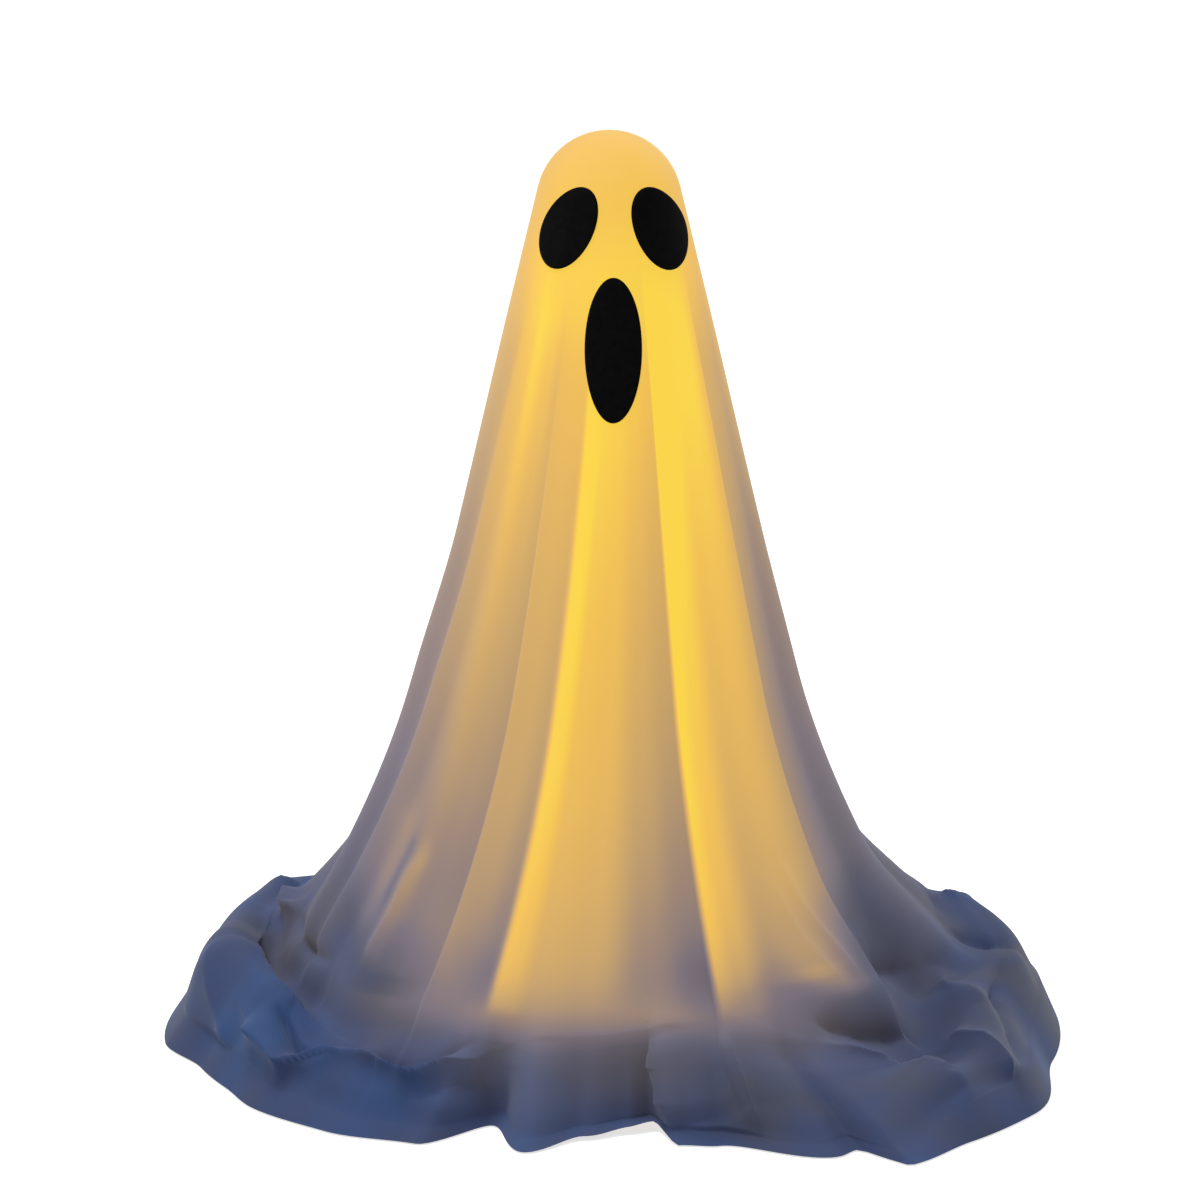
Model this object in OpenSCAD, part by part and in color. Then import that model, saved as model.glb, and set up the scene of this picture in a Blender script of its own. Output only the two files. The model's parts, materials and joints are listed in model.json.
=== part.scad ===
// Lighted ghost: a translucent sheet with felt eyes and mouth, draped over a lamp stand that
// collapses for storage. The pole telescopes, three wire hoops hold the sheet out, a frosted dome
// with a battery lamp makes the head, and a folding cross of two legs carries it all.
// Millimetres. The origin is on the floor under the pole, +Z is up and the face looks along -Y.

/* [Sheet] */
// Height of the draped ghost
ghost_h = 1050; // [1000:10:1100]
// Radius of the rounded head, to the outer face of the sheet
head_r = 82; // [80:1:88]
// How much the sheet widens for each millimetre that it falls
cone_slope = 0.24; // [0.22:0.01:0.26]
// Size of the heap of cloth on the floor, as a share of the photographed one
heap_size = 1; // [0.95:0.01:1.02]
// Thickness of the sheet with the air caught in its folds
sheet_t = 3; // [2:0.5:3.5]
// Depth of the folds, as a share of the photographed ones
fold_size = 1; // [0.6:0.1:1.1]

/* [Face] */
// Half the longer width of an eye
eye_long = 49; // [44:1:52]
// Half the shorter width of an eye
eye_short = 26.5; // [22:0.5:28]
// Lean of the eyes, tops towards the nose
eye_lean = 25.5; // [15:0.5:30]
// Distance of each eye from the middle of the face
eye_x = 50; // [46:1:51]
// Distance of the middle of the face from the pole, towards +X
face_x = 5; // [0:1:5]
// Half the height of the mouth
mouth_long = 84; // [70:1:86]
// Half the width of the mouth
mouth_short = 31.5; // [26:0.5:33]
// Thickness of the felt
felt_t = 1.5; // [1:0.25:2]

/* [Pole] */
// Outer radius of the sliding upper pole
upper_pole_r = 9.5; // [9:0.5:9.5]
// Outer radius of the fixed lower pole
lower_pole_r = 12.5; // [12.5:0.25:13]
// Height of the top end of the lower pole
lower_pole_top = 450; // [440:5:460]
// Running clearance of the sliding and turning fits
running = 0.05; // [0.03:0.01:0.08]

/* [Base] */
// Half the length of a folding leg
leg_half = 200; // [180:5:210]
// Width of a leg bar
leg_w = 30; // [26:1:32]
// Thickness of a leg bar
leg_t = 4; // [3:0.5:4]
// Distance of a ground stake's hole from the pole
stake_at = 150; // [130:5:150]
// Radius of a ground stake's hole
stake_r = 3.25; // [2.5:0.25:4]

/* [Hoops] */
// Heights of the shoulder, middle and lower hoops
hoop_heights = [760, 500, 240]; // [230:10:780]
// Radius of the hoop wire
wire_r = 2; // [1.5:0.25:2]
// Size of a hoop as a share of the sheet around it
hoop_share = 0.88; // [0.86:0.01:0.88]
// Width of the tapes that hang the hoops
tape_w = 12; // [8:1:16]

/* [Lamp] */
// Thickness of the frosted dome
dome_t = 2.5; // [2:0.25:3]
// Air between the dome and the sheet over it
dome_air = 4; // [4:0.5:5]
// Lights in the ring that shines down
ring_count = 12; // [8:1:16]
// Lights on the board in the crown
crown_count = 6; // [4:1:8]

/* [Hidden] */
$fn = 96;
hair = 0.01;            // overshoot of a cutting tool
touch = 0.3;            // air between pieces of different bodies
seat = 0.1;             // air between pieces that are screwed together
screw_r = 1.5;
screw_hole_r = screw_r + 0.1;

// The sheet's envelope: a ball on a cone, flaring into a roll of cloth on the floor
head_z = ghost_h - head_r;
lean = atan(cone_slope);
neck_z = head_z + head_r * sin(lean);
neck_r = head_r * cos(lean);
flare_z = 430;
flare_r = 112;
flare_power = 1.75;
function cone_r(z) = neck_r + cone_slope * (neck_z - z);
function flare(z) = flare_r * pow(max(0, (flare_z - z) / flare_z), flare_power);
function ball_r(z) = sqrt(head_r * head_r - pow(z - head_z, 2));
function envelope(z) = z >= neck_z ? ball_r(z) : cone_r(z) + flare(z);

// Lines down the folds, each [angle at the floor, angle under the face, depth as a share of the radius],
// in degrees from the front towards +X
folds = [[-174, -172, 0], [-158, -157, 0.06], [-142, -142, 0], [-127, -127, 0.05], [-112, -112, 0],
    [-98, -98, 0.045], [-84, -82, 0], [-78, -58, 0.035], [-73.5, -53.5, 0.01], [-64, -46, 0.035],
    [-53, -41.5, 0.02], [-44, -32, 0.045], [-37.2, -24.7, 0.045], [-31, -18, 0.035], [-23.5, -11, 0.034],
    [-20.5, -7.5, 0.006],
    [-17.5, -4.5, 0], [-13, 0, 0.02], [-4, 6, 0.045], [8, 12, 0.055], [18, 18, 0.052], [20.4, 20.6, 0.05],
    [21.6, 21.8, 0.012], [26, 27, 0.004], [34, 37, 0.01], [46, 48, 0.012], [55, 54.5, 0.004],
    [56.6, 56, 0.038], [70, 70, 0.05], [84, 84, 0], [99, 99, 0.05], [114, 114, 0],
    [131, 131, 0.055], [148, 148, 0], [167, 168, 0.06]];
wide_fold = 13.9;       // wider folds than this have a line half-way too
fold_top = 860;         // folds start below the face
fold_full = 450;        // and are at full depth from here down
foot_z = 130;           // height where the skirt runs into the heap
function smooth(t) = let(s = min(1, max(0, t))) s * s * (3 - 2 * s);
function next_fold(i) = i + 1 < len(folds) ? folds[i + 1] : folds[0] + [360, 360, 0];
lines = [for (i = [0:len(folds) - 1])
    let(here = folds[i], next = next_fold(i))
    each next[0] - here[0] > wide_fold ? [here, (here + next) / 2] : [here]];
columns = len(lines);

// Tables round the floor, each row [angle, values], eased between the rows
// Radius of the hem
outline = [[-180, 500], [-150, 470], [-120, 500], [-100, 506], [-82, 513], [-71, 489], [-62, 488], [-53, 497],
    [-40, 490], [-27, 469], [-19.8, 380], [-12, 456], [-4, 405], [3, 385], [7.5, 375], [10.2, 430], [16, 442],
    [28.6, 524], [31.8, 515], [34, 588], [44, 572], [56, 570], [75, 522], [92, 520], [120, 490], [150, 520]];
// How far the skirt's foot spreads on the heap
trumpet = [[-180, 30], [-120, 30], [-104, 20], [-85, 0], [-66, 0], [-50, 10], [-35, 0], [30, 0], [50, 35],
    [68, 0], [85, 30], [104, 40], [130, 40]];
trumpet_top = 250;
trumpet_h = 140;
trumpet_power = 1.5;
// How far the skirt hangs out over its sides
hip = [[-180, 0], [-120, 8], [-85, 10.5], [-50, 8], [-25, 0], [60, 0], [90, 3]];
hip_top = 600;
hip_h = 200;
// Heights of the heap in five even steps from the skirt's foot out to the hem
heap = [[-180, 100, 80, 62, 45, 15], [-150, 106, 88, 78, 60, 25], [-120, 108, 98, 104, 92, 40],
    [-104, 108, 104, 112, 92, 36], [-85, 84, 96, 116, 94, 34], [-66, 84, 86, 98, 76, 30],
    [-50, 80, 62, 60, 50, 22], [-35, 88, 62, 50, 38, 15], [-20, 105, 78, 50, 28, 10],
    [-5, 105, 78, 50, 28, 10], [10, 108, 84, 58, 34, 12], [22, 90, 66, 46, 28, 10],
    [34, 75, 55, 42, 28, 10], [50, 60, 38, 48, 58, 38], [68, 80, 82, 95, 82, 40],
    [85, 106, 94, 98, 96, 52], [104, 106, 100, 102, 98, 54], [130, 108, 94, 88, 70, 30],
    [155, 105, 88, 75, 55, 20]];
hem_inset = 22;         // the heights end this far inside the hem
function within_turn(a) = (a + 540) % 360 - 180;
function eased(table, angle) =
    let(a = within_turn(angle),
        k = max([for (i = [0:len(table) - 1]) if (table[i][0] <= a) i]),
        low = table[k],
        high = k + 1 < len(table) ? table[k + 1] : table[0],
        gap = k + 1 < len(table) ? high[0] - low[0] : high[0] + 360 - low[0])
    low + (high - low) * smooth((a - low[0]) / gap);

// Rings of the sheet from the crown to the hem
crown_angles = [25, 50, 90 - lean];
body_heights = [fold_top, 680, 480, 330, 220, foot_z];
heap_shares = [0.2, 0.6, 0.95];
upper_heights = concat([for (a = crown_angles) head_z + head_r * cos(a)], body_heights);
first_heap_ring = len(upper_heights);
last_ring = first_heap_ring + len(heap_shares);

function fold_reach(z) = min(1, max(0, (fold_top - z) / (fold_top - foot_z)));
function line_angle(j, z) = lines[j][1] + (lines[j][0] - lines[j][1]) * fold_reach(z);
function fold_depth(j, z) = fold_size * lines[j][2] * smooth((fold_top - z) / (fold_top - fold_full));
function spread(a, z) =
    eased(trumpet, a)[1] * pow(smooth((trumpet_top - z) / trumpet_h), trumpet_power)
    + eased(hip, a)[1] * smooth((hip_top - z) / hip_h);
function body_r(j, z) = envelope(z) * (1 - fold_depth(j, z)) + spread(line_angle(j, z), z);
function hem_r(a) = heap_size * eased(outline, a)[1];
function heap_r(j, a, share) =
    let(inner = body_r(j, foot_z)) inner + (hem_r(a) - hem_inset - inner) * share;
function heap_z(a, share) =
    let(row = eased(heap, a), steps = len(row) - 1)
    lookup(share, [for (i = [0:steps]) [i / steps, i == 0 ? foot_z : row[i]]]);

// The dome and the lamp under it
dome_r = head_r - sheet_t - dome_air;
dome_in = dome_r - dome_t;
plate_z = head_z - 65;              // underside of the lamp plate
plate_t = 4;
plate_r = dome_in - 0.1;
rim_h = 12;
rim_t = 5;
dome_foot = plate_z - 3;
screw_turns = [40, 160, 280];       // places of the dome and lens screws, clear of the tapes
peg_turns = [30, 150, 270];         // places of the pegs under the crown board
peg_at = 25;
peg_r = 1.5;
crown_board_r = 30;
crown_board_z = plate_z + plate_t + 6;
board_t = 1.6;
chip = [5, 5, 1.6];
ring_at = 48;
ring_board_in = 38;
ring_board_out = 58;
lens_in = 32;
lens_out = 68;
lens_t = 2;
lens_h = 13;
lens_screw_at = 62.2;
lead_at = 24;                       // distance of the lamp's lead from the pole

// The telescoping pole
pole_wall = 1.5;
upper_pole_foot = lower_pole_top - 45;
bush_h = 40;
collar_r = 18;
collar_foot = lower_pole_top - 25;
collar_top = lower_pole_top + 25;
lever_at = 25;                      // distance of the lever's pin from the pole
lever_z = lower_pole_top - 6;       // underside of the lever
lever_h = 14;
lug_t = 4;
pin_r = 2;

// The cross of legs, from the floor up
pad_r = 34;
pad_h = 6;
washer_t = 1;
lower_leg_z = pad_h;
upper_leg_z = lower_leg_z + leg_t + washer_t;
socket_z = upper_leg_z + leg_t;
socket_floor = 4;
socket_h = 85;
socket_wall = 3.5;
socket_flange_r = 26;
bolt_r = 5;
nut_h = 8;
lower_pole_foot = socket_z + socket_floor + nut_h + 1;
foot_l = 34;
foot_over = 4;                      // rubber beside, above and past the end of a leg

// The battery box behind the pole
box_front = 15;
box_back = 39;
box_half = 31;
box_foot = 785;
box_h = 70;
box_wall = 2;
groove_front = 34.7;
groove_back = 36.9;
cell_r = 7.1;
cell_l = 49;
cell_xs = [-20.5, -5, 10.5];
cell_y = box_front + box_wall + cell_r + 0.4;
cell_foot = box_foot + 9;
switch_z = box_foot + 27;
slider_travel = 4;
clip_z = box_foot + 23;
clip_h = 24;
clip_screw_x = 10.7;
clip_screw_r = 1.25;

// Shared shapes

module tube(outer, inner, z, h) {
    translate([0, 0, z])
        difference() {
            cylinder(r = outer, h = h);
            translate([0, 0, -hair]) cylinder(r = inner, h = h + 2 * hair);
        }
}

module disc(r, z, h) {
    translate([0, 0, z]) cylinder(r = r, h = h);
}

// A screw along +Z: its head from 0 up, its shank below
module screw(head_radius, head_h, shank_r, shank_l) {
    cylinder(r = head_radius, h = head_h);
    translate([0, 0, -shank_l]) cylinder(r = shank_r, h = shank_l + hair);
}

// A block centred in X and Y, standing on z
module block(size, at) {
    translate([at[0] - size[0] / 2, at[1] - size[1] / 2, at[2]]) cube(size);
}

module around(turns) {
    for (a = turns) rotate([0, 0, a]) children();
}

// A round tube swept along a path in the XZ or YZ plane: points given, rings square to the path
function unit(v) = v / norm(v);
function path_direction(path, i) =
    unit(path[min(len(path) - 1, i + 1)] - path[max(0, i - 1)]);
module swept_tube(path, r, sides, across) {
    function ring_point(i, s) =
        let(d = path_direction(path, i), other = cross(across, d))
        path[i] + r * (cos(360 * s / sides) * across + sin(360 * s / sides) * other);
    points = [for (i = [0:len(path) - 1]) for (s = [0:sides - 1]) ring_point(i, s)];
    walls = [for (i = [0:len(path) - 2]) for (s = [0:sides - 1])
        let(a = i * sides + s, b = i * sides + (s + 1) % sides)
        each [[a, b + sides, b], [a, a + sides, b + sides]]];
    first = [for (s = [0:sides - 1]) s];
    end = [for (s = [sides - 1:-1:0]) (len(path) - 1) * sides + s];
    polyhedron(points, concat(walls, [first, end]));
}

// The draped sheet

function turned(r, a, z) = [r * sin(a), -r * cos(a), z];
function sheet_point(ring, j) =
    let(a = line_angle(j, ring < first_heap_ring ? upper_heights[ring] : foot_z),
        share = heap_shares[ring - first_heap_ring])
    ring < first_heap_ring ? turned(body_r(j, upper_heights[ring]), a, upper_heights[ring]) :
    ring < last_ring ? turned(heap_r(j, a, share), a, heap_z(a, share)) :
    turned(hem_r(a), a, sheet_t);
apex = [0, 0, ghost_h];
function sheet_normal(ring, j) =
    ring == last_ring ? [0, 0, 1] :
    let(up = ring == 0 ? apex : sheet_point(ring - 1, j),
        down = sheet_point(ring + 1, j),
        left = sheet_point(ring, (j + columns - 1) % columns),
        right = sheet_point(ring, (j + 1) % columns))
    unit(cross(down - up, right - left));
function inner_point(ring, j) =
    let(p = sheet_point(ring, j) - sheet_t * sheet_normal(ring, j)) [p[0], p[1], max(0, p[2])];

module ghost_sheet() {
    grid = [for (ring = [0:last_ring]) for (j = [0:columns - 1]) [ring, j]];
    outer = [for (g = grid) sheet_point(g[0], g[1])];
    inner = [for (g = grid) inner_point(g[0], g[1])];
    points = concat(outer, inner, [apex, apex - [0, 0, sheet_t]]);
    half = len(grid);
    top = 2 * half;
    function at(ring, j) = ring * columns + j % columns;
    skins = [for (ring = [0:last_ring - 1]) for (j = [0:columns - 1])
        let(a = at(ring, j), b = at(ring, j + 1), c = at(ring + 1, j + 1), d = at(ring + 1, j))
        each [[a, b, c], [a, c, d], [half + a, half + c, half + b], [half + a, half + d, half + c]]];
    crown = [for (j = [0:columns - 1]) each [
        [top, at(0, j + 1), at(0, j)],
        [top + 1, half + at(0, j), half + at(0, j + 1)]]];
    hem = [for (j = [0:columns - 1])
        let(a = at(last_ring, j), b = at(last_ring, j + 1)) each [[a, b, half + b], [a, half + b, half + a]]];
    color("#d9b673") polyhedron(points, concat(skins, crown, hem));
}

// Felt ovals lie on the face of the sheet, cut by an upright prism of their outline

module felt_shell() {
    face_foot = 600;    // the face ends above here
    lift = 0.5;         // air under the felt
    back = [for (z = upper_heights) if (z > face_foot) [envelope(z) + lift, z]];
    front = [for (i = [len(back) - 1:-1:0]) back[i] + felt_t * [1, cone_slope]];
    rotate_extrude() polygon(concat(back, front));
}

module felt_oval(x, z, long, short, lean_angle) {
    oval_points = 48;
    color("#0b0b0c")
        intersection() {
            felt_shell();
            translate([x, 0, z])
                rotate([90, 0, 0])
                linear_extrude(height = 2 * head_r)
                rotate(lean_angle)
                polygon([for (i = [0:oval_points - 1])
                    [short * cos(360 * i / oval_points), long * sin(360 * i / oval_points)]]);
        }
}

eye_z = ghost_h - 95.5;     // middle of the eyes
mouth_z = ghost_h - 224;    // middle of the mouth
module left_eye_felt() { felt_oval(face_x - eye_x, eye_z, eye_long, eye_short, -eye_lean); }
module right_eye_felt() { felt_oval(face_x + eye_x, eye_z, eye_long, eye_short, eye_lean); }
module mouth_felt() { felt_oval(face_x, mouth_z, mouth_long, mouth_short, 0); }

// The head

dome_screw_z = plate_z + plate_t + rim_h / 2;
module head_dome() {
    color("#efe6d2")
        difference() {
            union() {
                disc(dome_r, dome_foot, head_z - dome_foot);
                translate([0, 0, head_z]) sphere(r = dome_r);
            }
            disc(dome_in, dome_foot - 2 * dome_r, head_z - dome_foot + 2 * dome_r);
            translate([0, 0, head_z]) sphere(r = dome_in);
            dome_screw_places() cylinder(r = screw_hole_r, h = 3 * rim_t, center = true);
        }
}

module dome_screw_places() {
    around(screw_turns)
        translate([dome_r + seat, 0, dome_screw_z]) rotate([0, 90, 0]) children();
}

module dome_screws() {
    color("#b8bcc0") dome_screw_places() screw(3, 1.8, screw_r, 9);
}

module lamp_plate() {
    boss_r = 15;
    boss_h = 25;
    color("#e9e9e6")
        difference() {
            union() {
                disc(plate_r, plate_z, plate_t);
                tube(plate_r, plate_r - rim_t, plate_z + plate_t - hair, rim_h + hair);
                disc(boss_r, plate_z - boss_h, boss_h + hair);
                around(peg_turns) translate([peg_at, 0, plate_z]) {
                    cylinder(r = 2 * peg_r, h = crown_board_z - plate_z);
                    cylinder(r = peg_r, h = crown_board_z - plate_z + 2 * board_t);
                }
            }
            disc(upper_pole_r + running, plate_z - boss_h - 1, boss_h + 1);
            translate([0, lead_at, plate_z - 1]) cylinder(r = 2.2, h = plate_t + 2);
            lens_screw_places() cylinder(r = screw_hole_r, h = lens_h + 2 * plate_t);
            dome_screw_places() cylinder(r = screw_hole_r, h = 4 * rim_t, center = true);
        }
}

module crown_board() {
    color("#2f7d4a")
        difference() {
            disc(crown_board_r, crown_board_z, board_t);
            around(peg_turns)
                translate([peg_at, 0, crown_board_z - 1]) cylinder(r = peg_r + 0.1, h = board_t + 2);
        }
}

module crown_leds() {
    color("#f6d36a")
        for (i = [0:crown_count - 1])
            rotate([0, 0, 360 * i / crown_count])
                block(chip, [crown_board_r / 2, 0, crown_board_z + board_t]);
}

ring_board_z = plate_z - seat - board_t;
module ring_board() {
    color("#2f7d4a") tube(ring_board_out, ring_board_in, ring_board_z, board_t);
}

module ring_leds() {
    color("#f6d36a")
        for (i = [0:ring_count - 1])
            rotate([0, 0, 360 * (i + 0.5) / ring_count]) block(chip, [ring_at, 0, ring_board_z - chip[2]]);
}

lens_z = plate_z - lens_h;
module ring_lens() {
    wall_h = lens_h - seat;
    boss_r = 4;
    color("#f3ecdc")
        difference() {
            union() {
                tube(lens_out, lens_in, lens_z, lens_t);
                tube(lens_out, lens_out - lens_t, lens_z, wall_h);
                tube(lens_in + lens_t, lens_in, lens_z, wall_h);
                around(screw_turns) translate([lens_screw_at, 0, lens_z]) cylinder(r = boss_r, h = wall_h);
            }
            lens_screw_places() cylinder(r = screw_hole_r, h = 3 * lens_h, center = true);
        }
}

module lens_screw_places() {
    around(screw_turns) translate([lens_screw_at, 0, lens_z - seat]) children();
}

module lens_screws() {
    color("#b8bcc0") lens_screw_places() rotate([180, 0, 0]) screw(2.8, 2.4, screw_r, 15.5);
}

module lamp_lead() {
    lead_foot = box_foot + box_h - box_wall;
    lead_top = crown_board_z - seat;
    bow = 4;
    pieces = 12;
    path = [for (i = [0:pieces])
        let(t = i / pieces, aside = bow * pow(sin(180 * t), 2) * (1 - t))
        [0, lead_at + aside, lead_foot + (lead_top - lead_foot) * t]];
    color("#d8d8d4") swept_tube(path, 1.5, 8, [1, 0, 0]);
}

// The pole

module upper_pole() {
    length = plate_z - upper_pole_foot;
    color("#f2f2f0") tube(upper_pole_r, upper_pole_r - pole_wall, upper_pole_foot, length);
}

module pole_bush() {
    color("#f5f3ea")
        tube(lower_pole_r - pole_wall - running, upper_pole_r, upper_pole_foot, bush_h);
}

module lower_pole() {
    length = lower_pole_top - lower_pole_foot;
    color("#f2f2f0") tube(lower_pole_r, lower_pole_r - pole_wall, lower_pole_foot, length);
}

module clamp_collar() {
    lug_half = 6;
    color("#3a3c40")
        difference() {
            union() {
                disc(collar_r, collar_foot, collar_top - collar_foot);
                for (z = [lever_z - touch - lug_t, lever_z + lever_h + touch]) {
                    translate([0, -lug_half, z]) cube([lever_at, 2 * lug_half, lug_t]);
                    translate([lever_at, 0, z]) cylinder(r = lug_half, h = lug_t);
                }
            }
            disc(lower_pole_r, collar_foot - 1, lower_pole_top - collar_foot + 1);
            disc(upper_pole_r + running, collar_foot, collar_top);
            translate([lever_at, 0, collar_foot]) cylinder(r = pin_r, h = collar_top - collar_foot);
        }
}

module clamp_lever() {
    arm_in = lever_at - 5;
    arm_t = 7;
    arm_l = 40;
    color("#d97818")
        difference() {
            union() {
                translate([lever_at, 0, lever_z]) cylinder(r = 6, h = lever_h);
                translate([arm_in, -arm_l, lever_z]) cube([arm_t, arm_l, lever_h]);
                translate([arm_in + arm_t / 2, -arm_l, lever_z]) cylinder(r = arm_t / 2, h = lever_h);
            }
            translate([lever_at, 0, lever_z - 1]) cylinder(r = pin_r + running, h = lever_h + 2);
        }
}

module lever_pin() {
    pin_foot = lever_z - touch - lug_t;
    pin_h = lever_h + 2 * (touch + lug_t);
    color("#b8bcc0") translate([lever_at, 0, pin_foot]) cylinder(r = pin_r, h = pin_h);
}

// The folding cross of legs

module leg_bar(z) {
    color("#4a4d52")
        difference() {
            block([2 * leg_half, leg_w, leg_t], [0, 0, z]);
            disc(bolt_r + running, z - 1, leg_t + 2);
            for (x = [-stake_at, stake_at]) translate([x, 0, z - 1]) cylinder(r = stake_r, h = leg_t + 2);
        }
}

module leg_feet(z) {
    color("#1d1d1f")
        for (side = [-1, 1])
            difference() {
                block([foot_l, leg_w + 2 * foot_over, z + leg_t + foot_over],
                    [side * (leg_half + foot_over - foot_l / 2), 0, 0]);
                block([2 * leg_half, leg_w, leg_t], [0, 0, z]);
            }
}

module lower_leg() { leg_bar(lower_leg_z); }
module lower_leg_feet() { leg_feet(lower_leg_z); }
module upper_leg() { rotate([0, 0, 90]) leg_bar(upper_leg_z); }
module upper_leg_feet() { rotate([0, 0, 90]) leg_feet(upper_leg_z); }

bolt_head_h = 4.4;
bolt_head_r = 9.2;
module centre_pad() {
    color("#1d1d1f")
        difference() {
            disc(pad_r, 0, pad_h);
            disc(bolt_head_r + 1.8, pad_h - bolt_head_h - seat, bolt_head_h + 1);
        }
}

module pivot_bolt() {
    bolt_top = socket_z + socket_floor + nut_h;
    color("#b8bcc0") {
        translate([0, 0, pad_h - bolt_head_h]) cylinder(r = bolt_head_r, h = bolt_head_h, $fn = 6);
        disc(bolt_r, pad_h - hair, bolt_top - pad_h);
    }
}

module pivot_nut() {
    color("#b8bcc0")
        translate([0, 0, socket_z + socket_floor])
        difference() {
            cylinder(r = bolt_head_r, h = nut_h, $fn = 6);
            translate([0, 0, -1]) cylinder(r = bolt_r, h = nut_h + 2);
        }
}

module pivot_washer() {
    color("#e8e4d8") tube(1.5 * bolt_head_r, bolt_r + running, lower_leg_z + leg_t, washer_t);
}

socket_screw_z = socket_z + 50;
knob_screw_r = 2.5;
module pole_socket() {
    color("#4a4d52")
        difference() {
            union() {
                disc(lower_pole_r + running + socket_wall, socket_z, socket_h);
                disc(socket_flange_r, socket_z, socket_floor);
            }
            disc(lower_pole_r + running, socket_z + socket_floor, socket_h);
            disc(bolt_r + running, socket_z - 1, socket_floor + 2);
            translate([0, 0, socket_screw_z]) rotate([0, 90, 0]) cylinder(r = knob_screw_r, h = socket_h);
        }
}

module socket_screw() {
    head_at = lower_pole_r + socket_wall + 0.2;
    shank_l = head_at - lower_pole_r - running;
    color("#1d1d1f")
        translate([head_at, 0, socket_screw_z]) rotate([0, 90, 0]) screw(8, 7, knob_screw_r, shank_l);
}

// The battery box

module pole_clip() {
    clip_r = 13;
    mouth = 13;
    color("#3a3c40")
        difference() {
            union() {
                disc(clip_r, clip_z, clip_h);
                translate([-clip_r, 0, clip_z]) cube([2 * clip_r, box_front, clip_h]);
            }
            disc(upper_pole_r + running, clip_z - 1, clip_h + 2);
            translate([-mouth / 2, -2 * clip_r, clip_z - 1]) cube([mouth, 2 * clip_r - 4, clip_h + 2]);
            clip_screw_places() cylinder(r = clip_screw_r, h = 40, center = true);
        }
}

module clip_screw_places() {
    for (x = [-clip_screw_x, clip_screw_x])
        translate([x, box_front + box_wall, clip_z + clip_h / 2]) rotate([-90, 0, 0]) children();
}

module clip_screws() {
    color("#b8bcc0") clip_screw_places() screw(2.4, 0.35, clip_screw_r, 9);
}

module battery_tray() {
    inside = box_half - box_wall;
    color("#26272a")
        difference() {
            translate([-box_half, box_front, box_foot]) cube([2 * box_half, box_back - box_front, box_h]);
            translate([-inside, box_front + box_wall, box_foot + box_wall])
                cube([2 * inside, groove_front - box_front - box_wall + hair, box_h - 2 * box_wall]);
            translate([-inside - 1, groove_front, box_foot - 1])
                cube([2 * inside + 2, groove_back - groove_front, box_h - box_wall + 1]);
            translate([-inside + 1, groove_back - hair, box_foot - 1])
                cube([2 * inside - 2, box_back - groove_back + 1, box_h - box_wall - 2]);
            translate([inside - 1, cell_y - 2.3, switch_z + 3]) cube([4, 4.6, 6 + slider_travel + 1.6]);
            translate([0, lead_at, box_foot + box_h - box_wall - 1]) cylinder(r = 1.9, h = box_wall + 2);
            clip_screw_places() cylinder(r = clip_screw_r + 0.05, h = 3 * box_wall, center = true);
        }
}

module battery_cells() {
    color("#8a6a3a")
        for (x = cell_xs)
            translate([x, cell_y, cell_foot]) {
                cylinder(r = cell_r, h = cell_l);
                cylinder(r = 2.7, h = cell_l + 1.2);
            }
}

module battery_contacts() {
    strip_t = 0.6;
    spring_h = 4;
    color("#c9ccd0")
        for (x = cell_xs) {
            block([11, 11, strip_t], [x, cell_y, cell_foot + cell_l + 1.3]);
            block([11, 11, strip_t], [x, cell_y, cell_foot - spring_h - strip_t]);
            translate([x, cell_y, cell_foot - spring_h - hair]) cylinder(r1 = 4.5, r2 = 3, h = spring_h);
        }
}

module battery_cover() {
    inside = box_half - box_wall;
    play = 0.15;
    cover_h = box_h - box_wall - 0.5;
    color("#2c2d30") {
        translate([-inside - 1 + 2 * play, groove_front + play, box_foot])
            cube([2 * (inside + 1 - 2 * play), groove_back - groove_front - 2 * play, cover_h]);
        for (i = [0:3]) block([24, 2, 2], [0, groove_back, box_foot + 8 + 5 * i]);
    }
}

module switch_body() {
    air = 0.9;
    side = cell_xs[2] + cell_r + air;
    color("#6f7276")
        translate([side, cell_y - 5, switch_z]) cube([box_half - box_wall - 0.2 - side, 10, 20]);
}

module switch_slider() {
    slider_in = box_half - box_wall + 0.2;
    color("#e8e6e0")
        translate([slider_in, cell_y - 1.9, switch_z + 3.4]) cube([5, 3.8, 6]);
}

// The hoops that hold the sheet out, and the tapes that hang them from the lamp plate

function hoop_r(i) = hoop_share * envelope(hoop_heights[i]);
ferrule_arc = 24;

module hoop(i) {
    color("#cfd2d6")
        translate([0, 0, hoop_heights[i]]) rotate_extrude() translate([hoop_r(i), 0]) circle(r = wire_r);
}

module ferrule(i) {
    turn = ferrule_arc / hoop_r(i) * 180 / PI;
    color("#9a9da2")
        translate([0, 0, hoop_heights[i]])
        rotate([0, 0, 90 - turn / 2])
        rotate_extrude(angle = turn)
        translate([hoop_r(i), 0])
        difference() {
            circle(r = wire_r + 1.2);
            circle(r = wire_r + 0.02);
        }
}

module shoulder_hoop() { hoop(0); }
module shoulder_ferrule() { ferrule(0); }
module middle_hoop() { hoop(1); }
module middle_ferrule() { ferrule(1); }
module lower_hoop() { hoop(2); }
module lower_ferrule() { ferrule(2); }

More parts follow.
